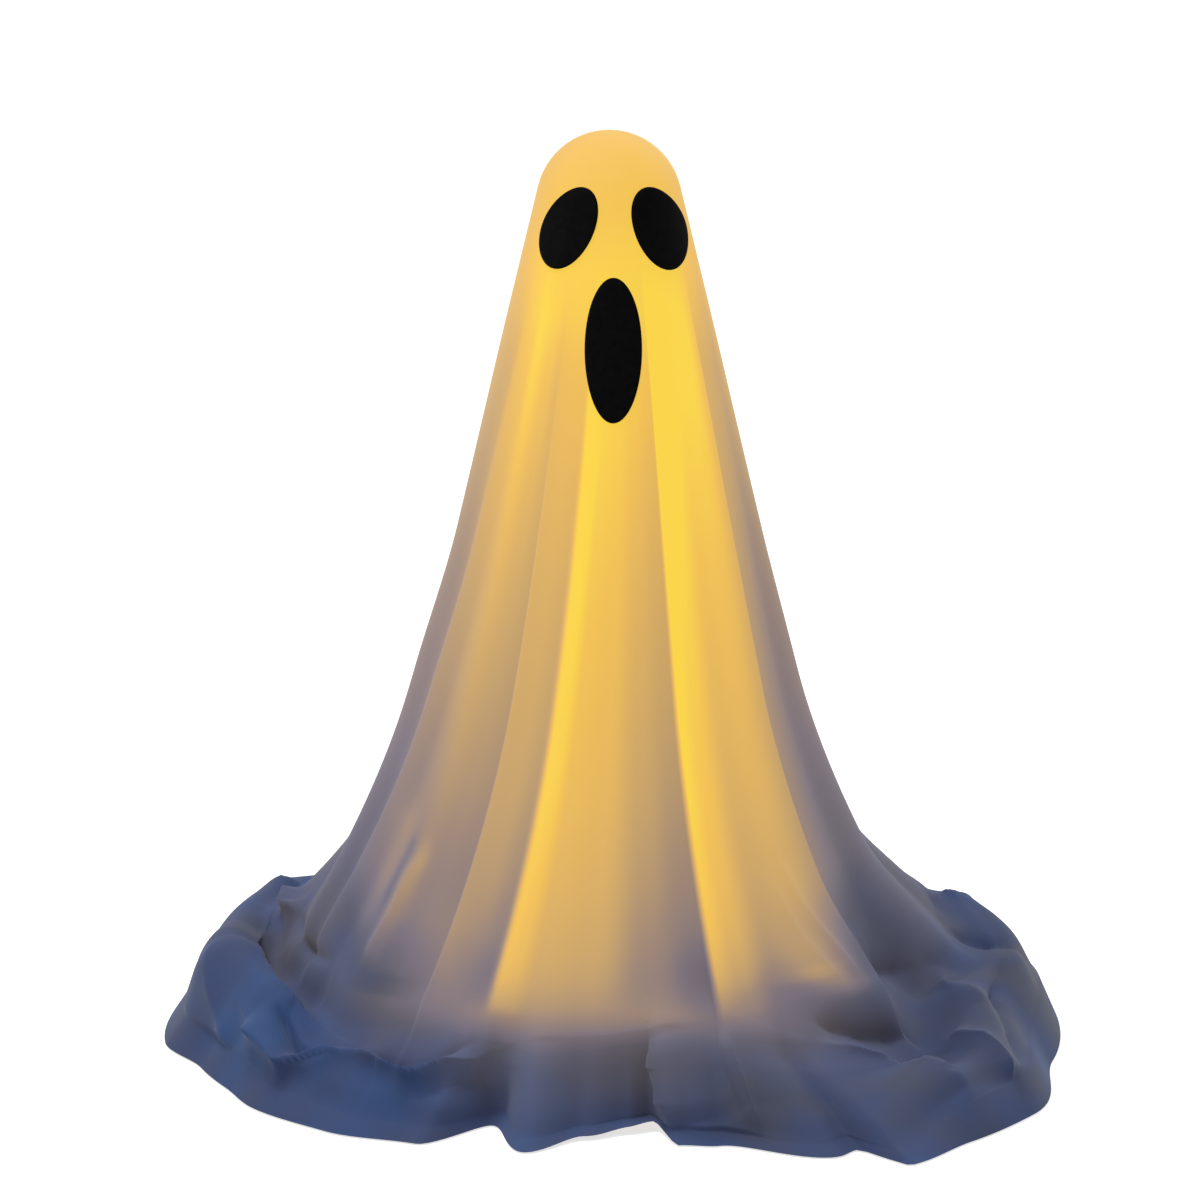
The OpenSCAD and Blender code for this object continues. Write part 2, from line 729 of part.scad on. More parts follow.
tape_turns = [-142, -56, 25, 114];  // degrees from the front towards +X
module hoop_tapes() {
    tape_t = 0.8;
    stand_off = 0.4;
    line = concat(
        [[dome_r + stand_off, dome_foot + 25], [dome_r + stand_off, dome_foot]],
        [for (i = [0:2]) [hoop_r(i) + wire_r + stand_off, hoop_heights[i]]],
        [[hoop_r(2) + wire_r + stand_off, hoop_heights[2] - 12]]);
    color("#e6e2d6")
        around([for (a = tape_turns) a - 90])
        rotate([90, 0, 0])
        translate([0, 0, -tape_w / 2])
        linear_extrude(height = tape_w)
        polygon(concat(line, [for (i = [len(line) - 1:-1:0]) line[i] + [tape_t, 0]]));
}

ghost_sheet();
left_eye_felt();
right_eye_felt();
mouth_felt();
head_dome();
dome_screws();
lamp_plate();
crown_board();
crown_leds();
ring_board();
ring_leds();
ring_lens();
lens_screws();
lamp_lead();
upper_pole();
pole_bush();
pole_clip();
clip_screws();
battery_tray();
battery_cells();
battery_contacts();
battery_cover();
switch_body();
switch_slider();
lower_pole();
clamp_collar();
clamp_lever();
lever_pin();
pole_socket();
socket_screw();
pivot_bolt();
pivot_nut();
pivot_washer();
lower_leg();
lower_leg_feet();
upper_leg();
upper_leg_feet();
centre_pad();
shoulder_hoop();
shoulder_ferrule();
middle_hoop();
middle_ferrule();
lower_hoop();
lower_ferrule();
hoop_tapes();
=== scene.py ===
"""The looks of the lighted ghost: draped voile, felt face, lamp head, battery box, pole and folding base."""

import json
import logging
import math
from dataclasses import dataclass, field
from enum import Enum

import bpy
import numpy as np
from bpy.types import Material, Mesh, Node, NodeSocket, NodeTree, Object
from mathutils import Matrix, Vector

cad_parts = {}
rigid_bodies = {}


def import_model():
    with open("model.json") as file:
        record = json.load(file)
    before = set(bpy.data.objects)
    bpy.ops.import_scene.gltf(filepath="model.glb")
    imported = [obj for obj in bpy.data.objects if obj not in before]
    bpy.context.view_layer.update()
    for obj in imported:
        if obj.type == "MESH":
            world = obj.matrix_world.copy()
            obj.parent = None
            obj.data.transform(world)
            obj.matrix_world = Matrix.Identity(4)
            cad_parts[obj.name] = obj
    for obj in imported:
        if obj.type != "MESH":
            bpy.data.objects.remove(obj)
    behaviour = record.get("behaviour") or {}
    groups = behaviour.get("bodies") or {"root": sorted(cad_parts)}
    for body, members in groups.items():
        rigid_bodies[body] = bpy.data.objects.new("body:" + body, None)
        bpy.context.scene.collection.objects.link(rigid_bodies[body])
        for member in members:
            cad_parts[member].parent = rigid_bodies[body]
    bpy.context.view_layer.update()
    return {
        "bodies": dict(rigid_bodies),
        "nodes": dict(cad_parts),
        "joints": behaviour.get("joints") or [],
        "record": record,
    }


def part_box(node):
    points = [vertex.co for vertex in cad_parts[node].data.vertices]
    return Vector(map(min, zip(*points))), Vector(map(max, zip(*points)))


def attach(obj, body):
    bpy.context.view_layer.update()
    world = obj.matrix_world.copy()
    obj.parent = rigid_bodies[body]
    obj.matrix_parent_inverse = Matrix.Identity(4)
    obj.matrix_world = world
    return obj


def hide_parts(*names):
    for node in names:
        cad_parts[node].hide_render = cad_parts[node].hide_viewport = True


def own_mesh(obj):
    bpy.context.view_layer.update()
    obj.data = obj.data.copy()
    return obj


Array = np.ndarray
Pairs = tuple[tuple[float, float], ...]
LOG = logging.getLogger("ghost")
MM = 0.001
PHOTO_PX = 1200
FRONT = -90.0  # the face looks along -Y: an angle of 0 round the pole is turned to there
WHITE_LIGHT = (1.0, 1.0, 1.0, 1.0)
MIX_FACTOR, MIX_A, MIX_B, MIX_RESULT = 0, 6, 7, 2  # the sockets of a mix node for colours
PATCH_STOPS = (0.35, 0.7)  # where a patchy noise turns from a finish's first colour to its second
ROUGH_SPREAD = 0.12  # how far a grain changes the roughness, as a share of it
BUMP_DEPTH = 0.3  # how deep a grain is, as a share of its width
CREASE_TAPER, CREASE_END = 0.3, 0.25  # the share of a crease's length where it tapers, and its size at the end


def hex_linear(code: str) -> tuple[float, float, float]:
    """Turn an sRGB hex colour into linear light.

    Args:
        code: A colour such as "#F4C25C".

    Returns:
        The linear red, green and blue.
    """
    channels = (int(code[i:i + 2], 16) / 255 for i in (1, 3, 5))
    red, green, blue = (c / 12.92 if c <= 0.04045 else ((c + 0.055) / 1.055) ** 2.4 for c in channels)
    return red, green, blue


def smooth(t: Array | float) -> Array | float:
    """Ease from 0 to 1 as t goes from 0 to 1."""
    s = np.clip(t, 0.0, 1.0)
    return s * s * (3.0 - 2.0 * s)


def add_node(tree: NodeTree, kind: str, settings: dict | None = None, links: dict | None = None) -> Node:
    """Add a shader node.

    Args:
        tree: The tree that gets the node.
        kind: The node's type, such as "ShaderNodeTexNoise".
        settings: Attributes by name, input values by input name or number, and as "stops" a ramp's pairs of
            position and linear colour, in order.
        links: Sockets that feed the inputs, by input name or number.

    Returns:
        The new node.
    """
    node = tree.nodes.new(kind)
    for key, value in (settings or {}).items():
        if key == "stops":
            elements = node.color_ramp.elements
            while len(elements) < len(value):
                elements.new(1.0)
            for element, (position, colour) in zip(elements, value):
                element.position = position
                element.color = (*colour, 1.0)
        elif isinstance(key, str) and hasattr(node, key):
            setattr(node, key, value)
        else:
            node.inputs[key].default_value = value
    for key, socket in (links or {}).items():
        tree.links.new(socket, node.inputs[key])
    return node


@dataclass(frozen=True)
class Finish:
    """A surface with one colour that wanders a little and a bump of one grain."""

    name: str
    colour: str
    second: str
    roughness: float
    ior: float = 1.5
    metallic: float = 0.0
    grain_mm: float = 1.0
    bump: float = 0.1
    patch_mm: float = 40.0
    sheen: float = 0.0
    gloss: float = 0.5

    def material(self) -> Material:
        """Make the material, or give the one made before."""
        made = bpy.data.materials.get(self.name)
        if made:
            return made
        material = bpy.data.materials.new(self.name)
        material.use_nodes = True
        tree = material.node_tree
        shader = tree.nodes["Principled BSDF"]
        settings = {"Roughness": self.roughness, "IOR": self.ior, "Metallic": self.metallic,
                    "Sheen Weight": self.sheen, "Specular IOR Level": self.gloss}
        for key, value in settings.items():
            shader.inputs[key].default_value = value
        self.paint(tree, shader, add_node(tree, "ShaderNodeTexCoord").outputs["Object"])
        return material

    def paint(self, tree: NodeTree, shader: Node, place: NodeSocket) -> None:
        """Give the shader its colour, roughness and bump.

        Args:
            tree: The material's tree.
            shader: Its Principled BSDF.
            place: Where on the object, in metres.
        """
        patch = add_node(tree, "ShaderNodeTexNoise", {"Scale": 1 / (self.patch_mm * MM), "Detail": 3.0},
                         {"Vector": place})
        stops = list(zip(PATCH_STOPS, (hex_linear(self.colour), hex_linear(self.second))))
        colour = add_node(tree, "ShaderNodeValToRGB", {"stops": stops}, {"Fac": patch.outputs["Fac"]})
        tree.links.new(colour.outputs["Color"], shader.inputs["Base Color"])
        grain = add_node(tree, "ShaderNodeTexNoise", {"Scale": 1 / (self.grain_mm * MM), "Detail": 4.0},
                         {"Vector": place})
        rough = add_node(tree, "ShaderNodeMapRange",
                         {"To Min": self.roughness * (1 - ROUGH_SPREAD),
                          "To Max": min(1.0, self.roughness * (1 + ROUGH_SPREAD))},
                         {"Value": grain.outputs["Fac"]})
        tree.links.new(rough.outputs["Result"], shader.inputs["Roughness"])
        bump = add_node(tree, "ShaderNodeBump",
                        {"Strength": self.bump, "Distance": self.grain_mm * MM * BUMP_DEPTH},
                        {"Height": grain.outputs["Fac"]})
        tree.links.new(bump.outputs["Normal"], shader.inputs["Normal"])


@dataclass(frozen=True)
class LitPlastic(Finish):
    """Plastic or phosphor that glows from the light in it."""

    glow: str = "#FFD070"
    strength: float = 1.0

    def paint(self, tree: NodeTree, shader: Node, place: NodeSocket) -> None:
        """Give the shader its colour and its glow."""
        super().paint(tree, shader, place)
        shader.inputs["Emission Color"].default_value = (*hex_linear(self.glow), 1.0)
        shader.inputs["Emission Strength"].default_value = self.strength


@dataclass(frozen=True)
class GlowingVoile(Finish):
    """Thin plain-woven polyester voile with a lamp behind it.

    The cloth is white. Its slate blue base colour is painted dusk light, with random bluer and greyer patches.
    Where the lamp stands behind it, painted lamp light turns it mauve, tan, gold and then yellow, in the base
    colour and as emission. The sheet's "glow" attribute says how much painted lamp light each point gets.
    """

    # The colour seen by painted lamp light, and the glow from which no painted dusk colour is left
    lit: tuple[tuple[float, str], ...] = ()
    lit_from: float = 0.3
    # The bluest and greyest patches of painted dusk light, and where a noise gives the blue, the painted dusk
    # colour and the grey
    blue: str = "#264677"
    grey: str = "#3B4056"
    dusk_stops: tuple[float, float, float] = (0.34, 0.5, 0.7)
    thread_mm: float = 1.8
    thread_h_mm: float = 0.1

    def paint(self, tree: NodeTree, shader: Node, place: NodeSocket) -> None:
        """Give the shader its painted dusk light, its painted lamp light and its weave."""
        glow = add_node(tree, "ShaderNodeAttribute", {"attribute_name": "glow"}).outputs["Fac"]
        patch = add_node(tree, "ShaderNodeTexNoise", {"Scale": 1 / (self.patch_mm * MM), "Detail": 2.0},
                         {"Vector": place})
        stops = list(zip(self.dusk_stops, map(hex_linear, (self.blue, self.colour, self.grey))))
        dusk = add_node(tree, "ShaderNodeValToRGB", {"stops": stops}, {"Fac": patch.outputs["Fac"]})
        # Painted lamp light: the base colour runs from painted dusk to painted lit colours by glow, and the
        # emission adds the rest
        stops = [(position, self.painted_base_colour(position)) for position, _ in self.lit]
        warm = add_node(tree, "ShaderNodeValToRGB", {"stops": stops}, {"Fac": glow})
        amount = add_node(tree, "ShaderNodeMapRange", {"From Max": self.lit_from}, {"Value": glow})
        base = add_node(tree, "ShaderNodeMix", {"data_type": "RGBA"},
                        {MIX_FACTOR: amount.outputs["Result"], MIX_A: dusk.outputs["Color"],
                         MIX_B: warm.outputs["Color"]})
        tree.links.new(base.outputs[MIX_RESULT], shader.inputs["Base Color"])
        stops = [(position, self.light_colour(position, seen)) for position, seen in self.lit]
        light = add_node(tree, "ShaderNodeValToRGB", {"stops": stops}, {"Fac": glow})
        tree.links.new(light.outputs["Color"], shader.inputs["Emission Color"])
        shader.inputs["Emission Strength"].default_value = 1.0
        self.weave(tree, shader)

    def weave(self, tree: NodeTree, shader: Node) -> None:
        """Give the shader the bump of threads that cross.

        Args:
            tree: The material's tree.
            shader: Its Principled BSDF.
        """
        threads = add_node(tree, "ShaderNodeUVMap", {"uv_map": "cloth"})
        bands = math.pi / 10  # a wave node of scale 1 repeats after this length
        heights = []
        for direction in ("X", "Y"):
            wave = add_node(tree, "ShaderNodeTexWave",
                            {"bands_direction": direction, "Scale": bands / (self.thread_mm * MM),
                             "Distortion": 0.6, "Detail": 1.0, "Detail Scale": 0.3},
                            {"Vector": threads.outputs["UV"]})
            heights.append(wave.outputs["Fac"])
        both = add_node(tree, "ShaderNodeMath", {"operation": "ADD"}, {0: heights[0], 1: heights[1]})
        bump = add_node(tree, "ShaderNodeBump", {"Strength": self.bump, "Distance": self.thread_h_mm * MM},
                        {"Height": both.outputs["Value"]})
        tree.links.new(bump.outputs["Normal"], shader.inputs["Normal"])

    def painted_base_colour(self, glow: float) -> tuple[float, ...]:
        """Give the painted base colour where that much lamp light comes through: painted dusk light blended
        towards painted lamp light.
        """
        start, end = hex_linear(self.colour), hex_linear(self.second)
        return tuple(a + (b - a) * glow for a, b in zip(start, end))

    def light_colour(self, glow: float, seen: str) -> tuple[float, ...]:
        """Give the painted lamp light, shown as emission, to add to the painted base colour, so that the seen
        colour results.
        """
        own = self.painted_base_colour(glow)
        return tuple(max(0.0, s - c) * (glow > 0) for s, c in zip(hex_linear(seen), own))


# Plain-woven polyester voile: thin and matt, so that light glows through it and shadows stay soft. Its threads are
# about 0.3 mm apart and are drawn 1.8 mm apart, because finer ones wouldn't show
# The voile is white: its slate blue first colour is painted dusk light, and its amber brown second colour is
# painted lamp light, with the lit colours also painted in as emission
VOILE = GlowingVoile(
    "polyester_voile", "#2F3F69", "#5A4520", roughness=0.85, ior=1.46, sheen=0.1, bump=0.12, patch_mm=150,
    lit=((0.0, "#434D6C"), (0.15, "#5B5A6E"), (0.3, "#7C727E"), (0.45, "#9F8779"), (0.6, "#C4A06E"),
         (0.75, "#E0B263"), (0.88, "#F4C256"), (1.0, "#FED748")))
# Pressed wool felt: matt, with short fibres that scatter light at the rim
FELT = Finish("pressed_felt", "#030303", "#080808", roughness=0.95, ior=1.46, grain_mm=1.2, bump=0.5, patch_mm=8,
              gloss=0.1)
# Woven cotton tape: off-white, matt, with a fine ribbed weave
TAPE = Finish("cotton_tape", "#E4DFD0", "#D8D1BE", roughness=0.9, ior=1.46, grain_mm=0.8, bump=0.5, patch_mm=12)
# Frosted polycarbonate, lit from inside: satin and evenly warm
DOME = LitPlastic("frosted_polycarbonate", "#EFE6D2", "#F3EBDA", roughness=0.55, ior=1.58, grain_mm=0.5,
                  glow="#FFC868", strength=0.3)
# Phosphor over a light chip: yellow when dark, bright when lit
CHIP = LitPlastic("led_phosphor", "#F6D36A", "#F0C850", roughness=0.4, grain_mm=0.4, glow="#FFDFA0", strength=4.0)
# Injection moulded ABS: fine spark-eroded texture, satin
WHITE_ABS = Finish("moulded_abs_white", "#E9E9E6", "#E2E2DE", roughness=0.5, ior=1.53, grain_mm=0.6)
BLACK_ABS = Finish("moulded_abs_black", "#26272A", "#202124", roughness=0.48, ior=1.53, grain_mm=0.6)
ORANGE_ABS = Finish("moulded_abs_orange", "#D97818", "#D06F12", roughness=0.42, ior=1.53, grain_mm=0.6)
# Natural nylon: milky and waxy
NYLON = Finish("moulded_nylon", "#E8E4D8", "#E0DBCB", roughness=0.4, ior=1.53, grain_mm=0.8)
# Solder mask over glass-fibre board: green, glossy, with the weave just showing
BOARD = Finish("solder_mask", "#2F7D4A", "#2A7044", roughness=0.35, grain_mm=0.8, patch_mm=6)
# Bright zinc plate: grey with a faint blue cast and small crystals
ZINC = Finish("zinc_plate", "#B8BCC0", "#AEB3BA", roughness=0.32, metallic=1.0, grain_mm=1.5, patch_mm=5)
# Drawn spring wire: bright grey with a fine grain
WIRE = Finish("drawn_steel_wire", "#A9ACB0", "#9EA1A6", roughness=0.35, metallic=1.0, grain_mm=0.6)
# Powder coat: satin with a fine orange peel
WHITE_COAT = Finish("powder_coat_white", "#F0F0EE", "#EAEAE7", roughness=0.4, grain_mm=2.0, bump=0.15)
GREY_COAT = Finish("powder_coat_grey", "#4A4D52", "#44474C", roughness=0.55, grain_mm=1.0, bump=0.3)
# Moulded rubber: matt black with a bloom
RUBBER = Finish("moulded_rubber", "#1D1D1F", "#26262A", roughness=0.8, ior=1.52, grain_mm=1.2, bump=0.2,
                patch_mm=20)
# Shrunk film round a dry cell: smooth and glossy, bare of print
CELL_WRAP = Finish("cell_film", "#7A5A2C", "#86653A", roughness=0.3, grain_mm=1.5, patch_mm=30)
# Soft vinyl sleeve of a lead: pale and satin
SLEEVE = Finish("vinyl_sleeve", "#D8D8D4", "#CFCFCA", roughness=0.5, ior=1.54, grain_mm=0.8)


def mesh_piece(name: str, points: Array, faces: list[tuple[int, ...]], finish: Finish) -> Object:
    """Make a smooth-shaded mesh object.

    Args:
        name: The piece's name.
        points: Its points, in metres.
        faces: Its faces as numbers of points.
        finish: What it is made of.

    Returns:
        The new object.
    """
    mesh = bpy.data.meshes.new(name)
    mesh.from_pydata([tuple(p) for p in points], [], faces)
    mesh.polygons.foreach_set("use_smooth", [True] * len(mesh.polygons))
    mesh.materials.append(finish.material())
    mesh.update()
    piece = bpy.data.objects.new(name, mesh)
    bpy.context.scene.collection.objects.link(piece)
    return piece


def grid_faces(rows: int, columns: int) -> list[tuple[int, ...]]:
    """Give the faces, facing out, of a band of closed rings of points that are counted from the top down."""
    return [(i * columns + j, (i + 1) * columns + j, (i + 1) * columns + (j + 1) % columns,
             i * columns + (j + 1) % columns) for i in range(rows - 1) for j in range(columns)]


def pole_points(angle: Array, r: Array, z: Array) -> Array:
    """Give points round the pole by their angles from the front in degrees, their radii and their heights."""
    turn = np.radians(angle + FRONT)
    return np.stack([r * np.cos(turn), r * np.sin(turn), z], axis=1)


def three_turns(angle: Array) -> Array:
    """Repeat angles in degrees one turn before and one turn after themselves."""
    return np.concatenate([angle - 360, angle, angle + 360])


def between_rows(grid: Array, at: float) -> Array:
    """Read a grid between its rows along a smooth curve.

    Args:
        grid: The values, one row per whole number.
        at: The row number to read, with a fraction.

    Returns:
        The values there.
    """
    first = math.floor(at)
    t = at - first
    a, b, c, d = (grid[min(max(first + k, 0), len(grid) - 1)] for k in (-1, 0, 1, 2))
    return b + 0.5 * t * (c - a + t * (2 * a - 5 * b + 4 * c - d + t * (3 * (b - c) + d - a)))


@dataclass(frozen=True)
class Ease:
    """A smooth step from 0 at its start to 1 a span further on. With a negative span it runs the other way."""

    start: float
    span: float

    def at(self, value: Array | float) -> Array | float:
        """Give the step's height, from 0 to 1."""
        return smooth((value - self.start) / self.span)


@dataclass(frozen=True)
class Fold:
    """One line down the sheet, from under the face to the floor.

    Attributes:
        foot: Where it meets the floor, in degrees from the front towards +X.
        top: Where it starts under the face.
        depth: How far in the cloth lies there, as a share of the radius.
        bright_top: Light added or taken at the chest.
        bright_low: Light added or taken near the floor.
    """

    foot: float
    top: float
    depth: float
    bright_top: float = 0.0
    bright_low: float = 0.0


@dataclass(frozen=True)
class Crease:
    """One ridge, or with a negative rise one pocket, of the cloth heaped on the floor.

    Attributes:
        line: Its course as pairs of angle and share of the way from the skirt's foot to the hem. A share
            below 0 is a height above the foot, in metres.
        rise: How far it stands out, in millimetres.
        left: How far it runs out on its left side, in millimetres, seen from above along its course.
        right: How far it runs out on its right side.
    """

    line: Pairs
    rise: float
    left: float
    right: float

    def lift(self, rows: Array, square: Array, course: Array, crispness: float) -> Array:
        """Say how far it moves each point out.

        Args:
            rows: The plain form's points by row, column and axis.
            square: The directions square to the cloth there.
            course: The points of its line.
            crispness: The power of its profile, below 1 for a sharp edge and 2 for a soft swell.

        Returns:
            The moves by row and column, in metres.
        """
        steps = np.diff(course, axis=0)
        lengths = np.linalg.norm(steps, axis=1)
        starts = np.concatenate([[0], np.cumsum(lengths)])
        nearest = np.full(rows.shape[:2], np.inf)
        beside, along = np.zeros(nearest.shape), np.zeros(nearest.shape)
        for start, step, length, before in zip(course, steps, lengths, starts):
            offset = rows - start
            t = np.clip((offset @ step) / length ** 2, 0, 1)
            gap = np.linalg.norm(offset - t[..., None] * step, axis=-1)
            side = (np.cross(step, offset) * square).sum(axis=-1)
            closer = gap < nearest
            nearest = np.where(closer, gap, nearest)
            beside = np.where(closer, side, beside)
            along = np.where(closer, (before + t * length) / starts[-1], along)
        width = np.where(beside > 0, self.left, self.right) * MM
        taper = smooth(np.minimum(along, 1 - along) / CREASE_TAPER + CREASE_END)
        return self.rise * MM * taper * np.exp(-((nearest / width) ** crispness))


@dataclass(frozen=True)
class Streak:
    """One soft streak of light, or with a negative light of shade, where the skirt meets the heap.

    Attributes:
        start: Its upper end as an angle in degrees and a place down the cloth in metres.
        end: Its lower end.
        wide: How far it runs out to its sides, in degrees.
        tall: How far it runs out past its ends, in metres.
        light: How much light it adds.
    """

    start: tuple[float, float]
    end: tuple[float, float]
    wide: float
    tall: float
    light: float

    def at(self, angle: Array, place: float) -> Array:
        """Give the light that it adds.

        Args:
            angle: Angles round the pole in degrees.
            place: The place down the cloth.

        Returns:
            The light at each angle.
        """
        share = float(np.clip((self.start[1] - place) / (self.start[1] - self.end[1]), 0, 1))
        centre = self.start[0] + (self.end[0] - self.start[0]) * share
        past = place - self.start[1] - (self.end[1] - self.start[1]) * share
        return self.light * np.exp(-(((angle - centre) / self.wide) ** 2) - (past / self.tall) ** 2)


@dataclass(frozen=True)
class LampGlow:
    """How much of the lamp's light comes through the sheet, from 0 to 1, as painted light and shade for the
    sheet's base colour and emission.

    A place down the cloth is a height on the body, and less than the foot's height on the heap.
    """

    # The light by place, on the front and on the sides
    front: Pairs = (
        (-0.45, 0), (-0.27, 0.06), (-0.12, 0.12), (-0.045, 0.18), (0.03, 0.33), (0.08, 0.44), (0.13, 0.53),
        (0.18, 0.62), (0.25, 0.7), (0.34, 0.77), (0.45, 0.82), (0.56, 0.86), (0.66, 0.91), (0.76, 0.96),
        (0.86, 0.99), (0.92, 0.96), (0.97, 0.91), (1.05, 0.86))
    side: Pairs = (
        (-0.07, 0), (0.055, 0.05), (0.13, 0.12), (0.25, 0.24), (0.4, 0.36), (0.5, 0.42), (0.6, 0.5), (0.7, 0.6),
        (0.8, 0.7), (0.9, 0.8), (1.05, 0.84))
    # Where the light draws in to the middle panel, going down, and where it ends in the heap
    foot: Ease = Ease(0.24, -0.12)
    deep: Ease = Ease(0.1, -0.25)
    # The panel's edges, and how much higher the light ends beside it, at the foot and in the heap
    panel: tuple[Ease, Ease] = (Ease(-18, -16), Ease(8, 16))
    slant: float = 0.06
    sink: float = 0.2
    # The angle where the front turns into a side, and how much less it is at the foot, left and right
    wide: float = 40.0
    pull: tuple[float, float] = (11, 17)
    # The angle over which it turns, and how much less that is at the foot
    blur: float = 42.0
    tighten: float = 12.0
    # Where the back begins, and how far it returns to the front's light
    back: Ease = Ease(105, 45)
    back_share: float = 0.75
    # Where the left side's folds begin, and where folds begin and leave off adding light and shade
    left_folds: Ease = Ease(-28, -8)
    fold_start: Ease = Ease(0.93, -0.15)
    fold_end: Ease = Ease(0.06, 0.12)
    left_end: Ease = Ease(0.08, 0.18)
    streaks: tuple[Streak, ...] = (
        Streak((-48.8, 0.255), (-51.5, 0.16), 2.2, 0.02, 0.12),
        Streak((-53.5, 0.265), (-55, 0.215), 1.8, 0.015, -0.1),
        Streak((-60, 0.28), (-61, 0.19), 5, 0.03, 0.11),
        Streak((-47, 0.122), (-47, 0.105), 6, 0.008, -0.07),
        Streak((43, 0.158), (43, 0.152), 8, 0.028, 0.2),
        Streak((43, 0.14), (47, 0.125), 6, 0.012, 0.15))

    def row(self, angle: Array, place: float, folds: Array) -> Array:
        """Give the light along one row of the sheet.

        Args:
            angle: The row's angles round the pole in degrees.
            place: Its place down the cloth.
            folds: The light that the folds add or take there.

        Returns:
            The light at each angle.
        """
        low = self.foot.at(place)
        beside = sum(edge.at(angle) for edge in self.panel)
        ended = place - beside * (self.slant * low + self.sink * self.deep.at(place))
        front = np.interp(ended, *zip(*self.front))
        side = np.interp(place, *zip(*self.side))
        start = self.wide - np.where(angle > 0, self.pull[1], self.pull[0]) * low
        aside = smooth((np.abs(angle) - start) / (self.blur - self.tighten * low))
        aside *= 1 - self.back_share * self.back.at(np.abs(angle))
        left = self.left_folds.at(angle)
        ends = self.fold_end.at(place) * (1 - left) + self.left_end.at(place) * left
        light = front + (side - front) * aside + folds * self.fold_start.at(place) * ends
        return np.clip(light + sum(streak.at(angle, place) for streak in self.streaks), 0, 1)


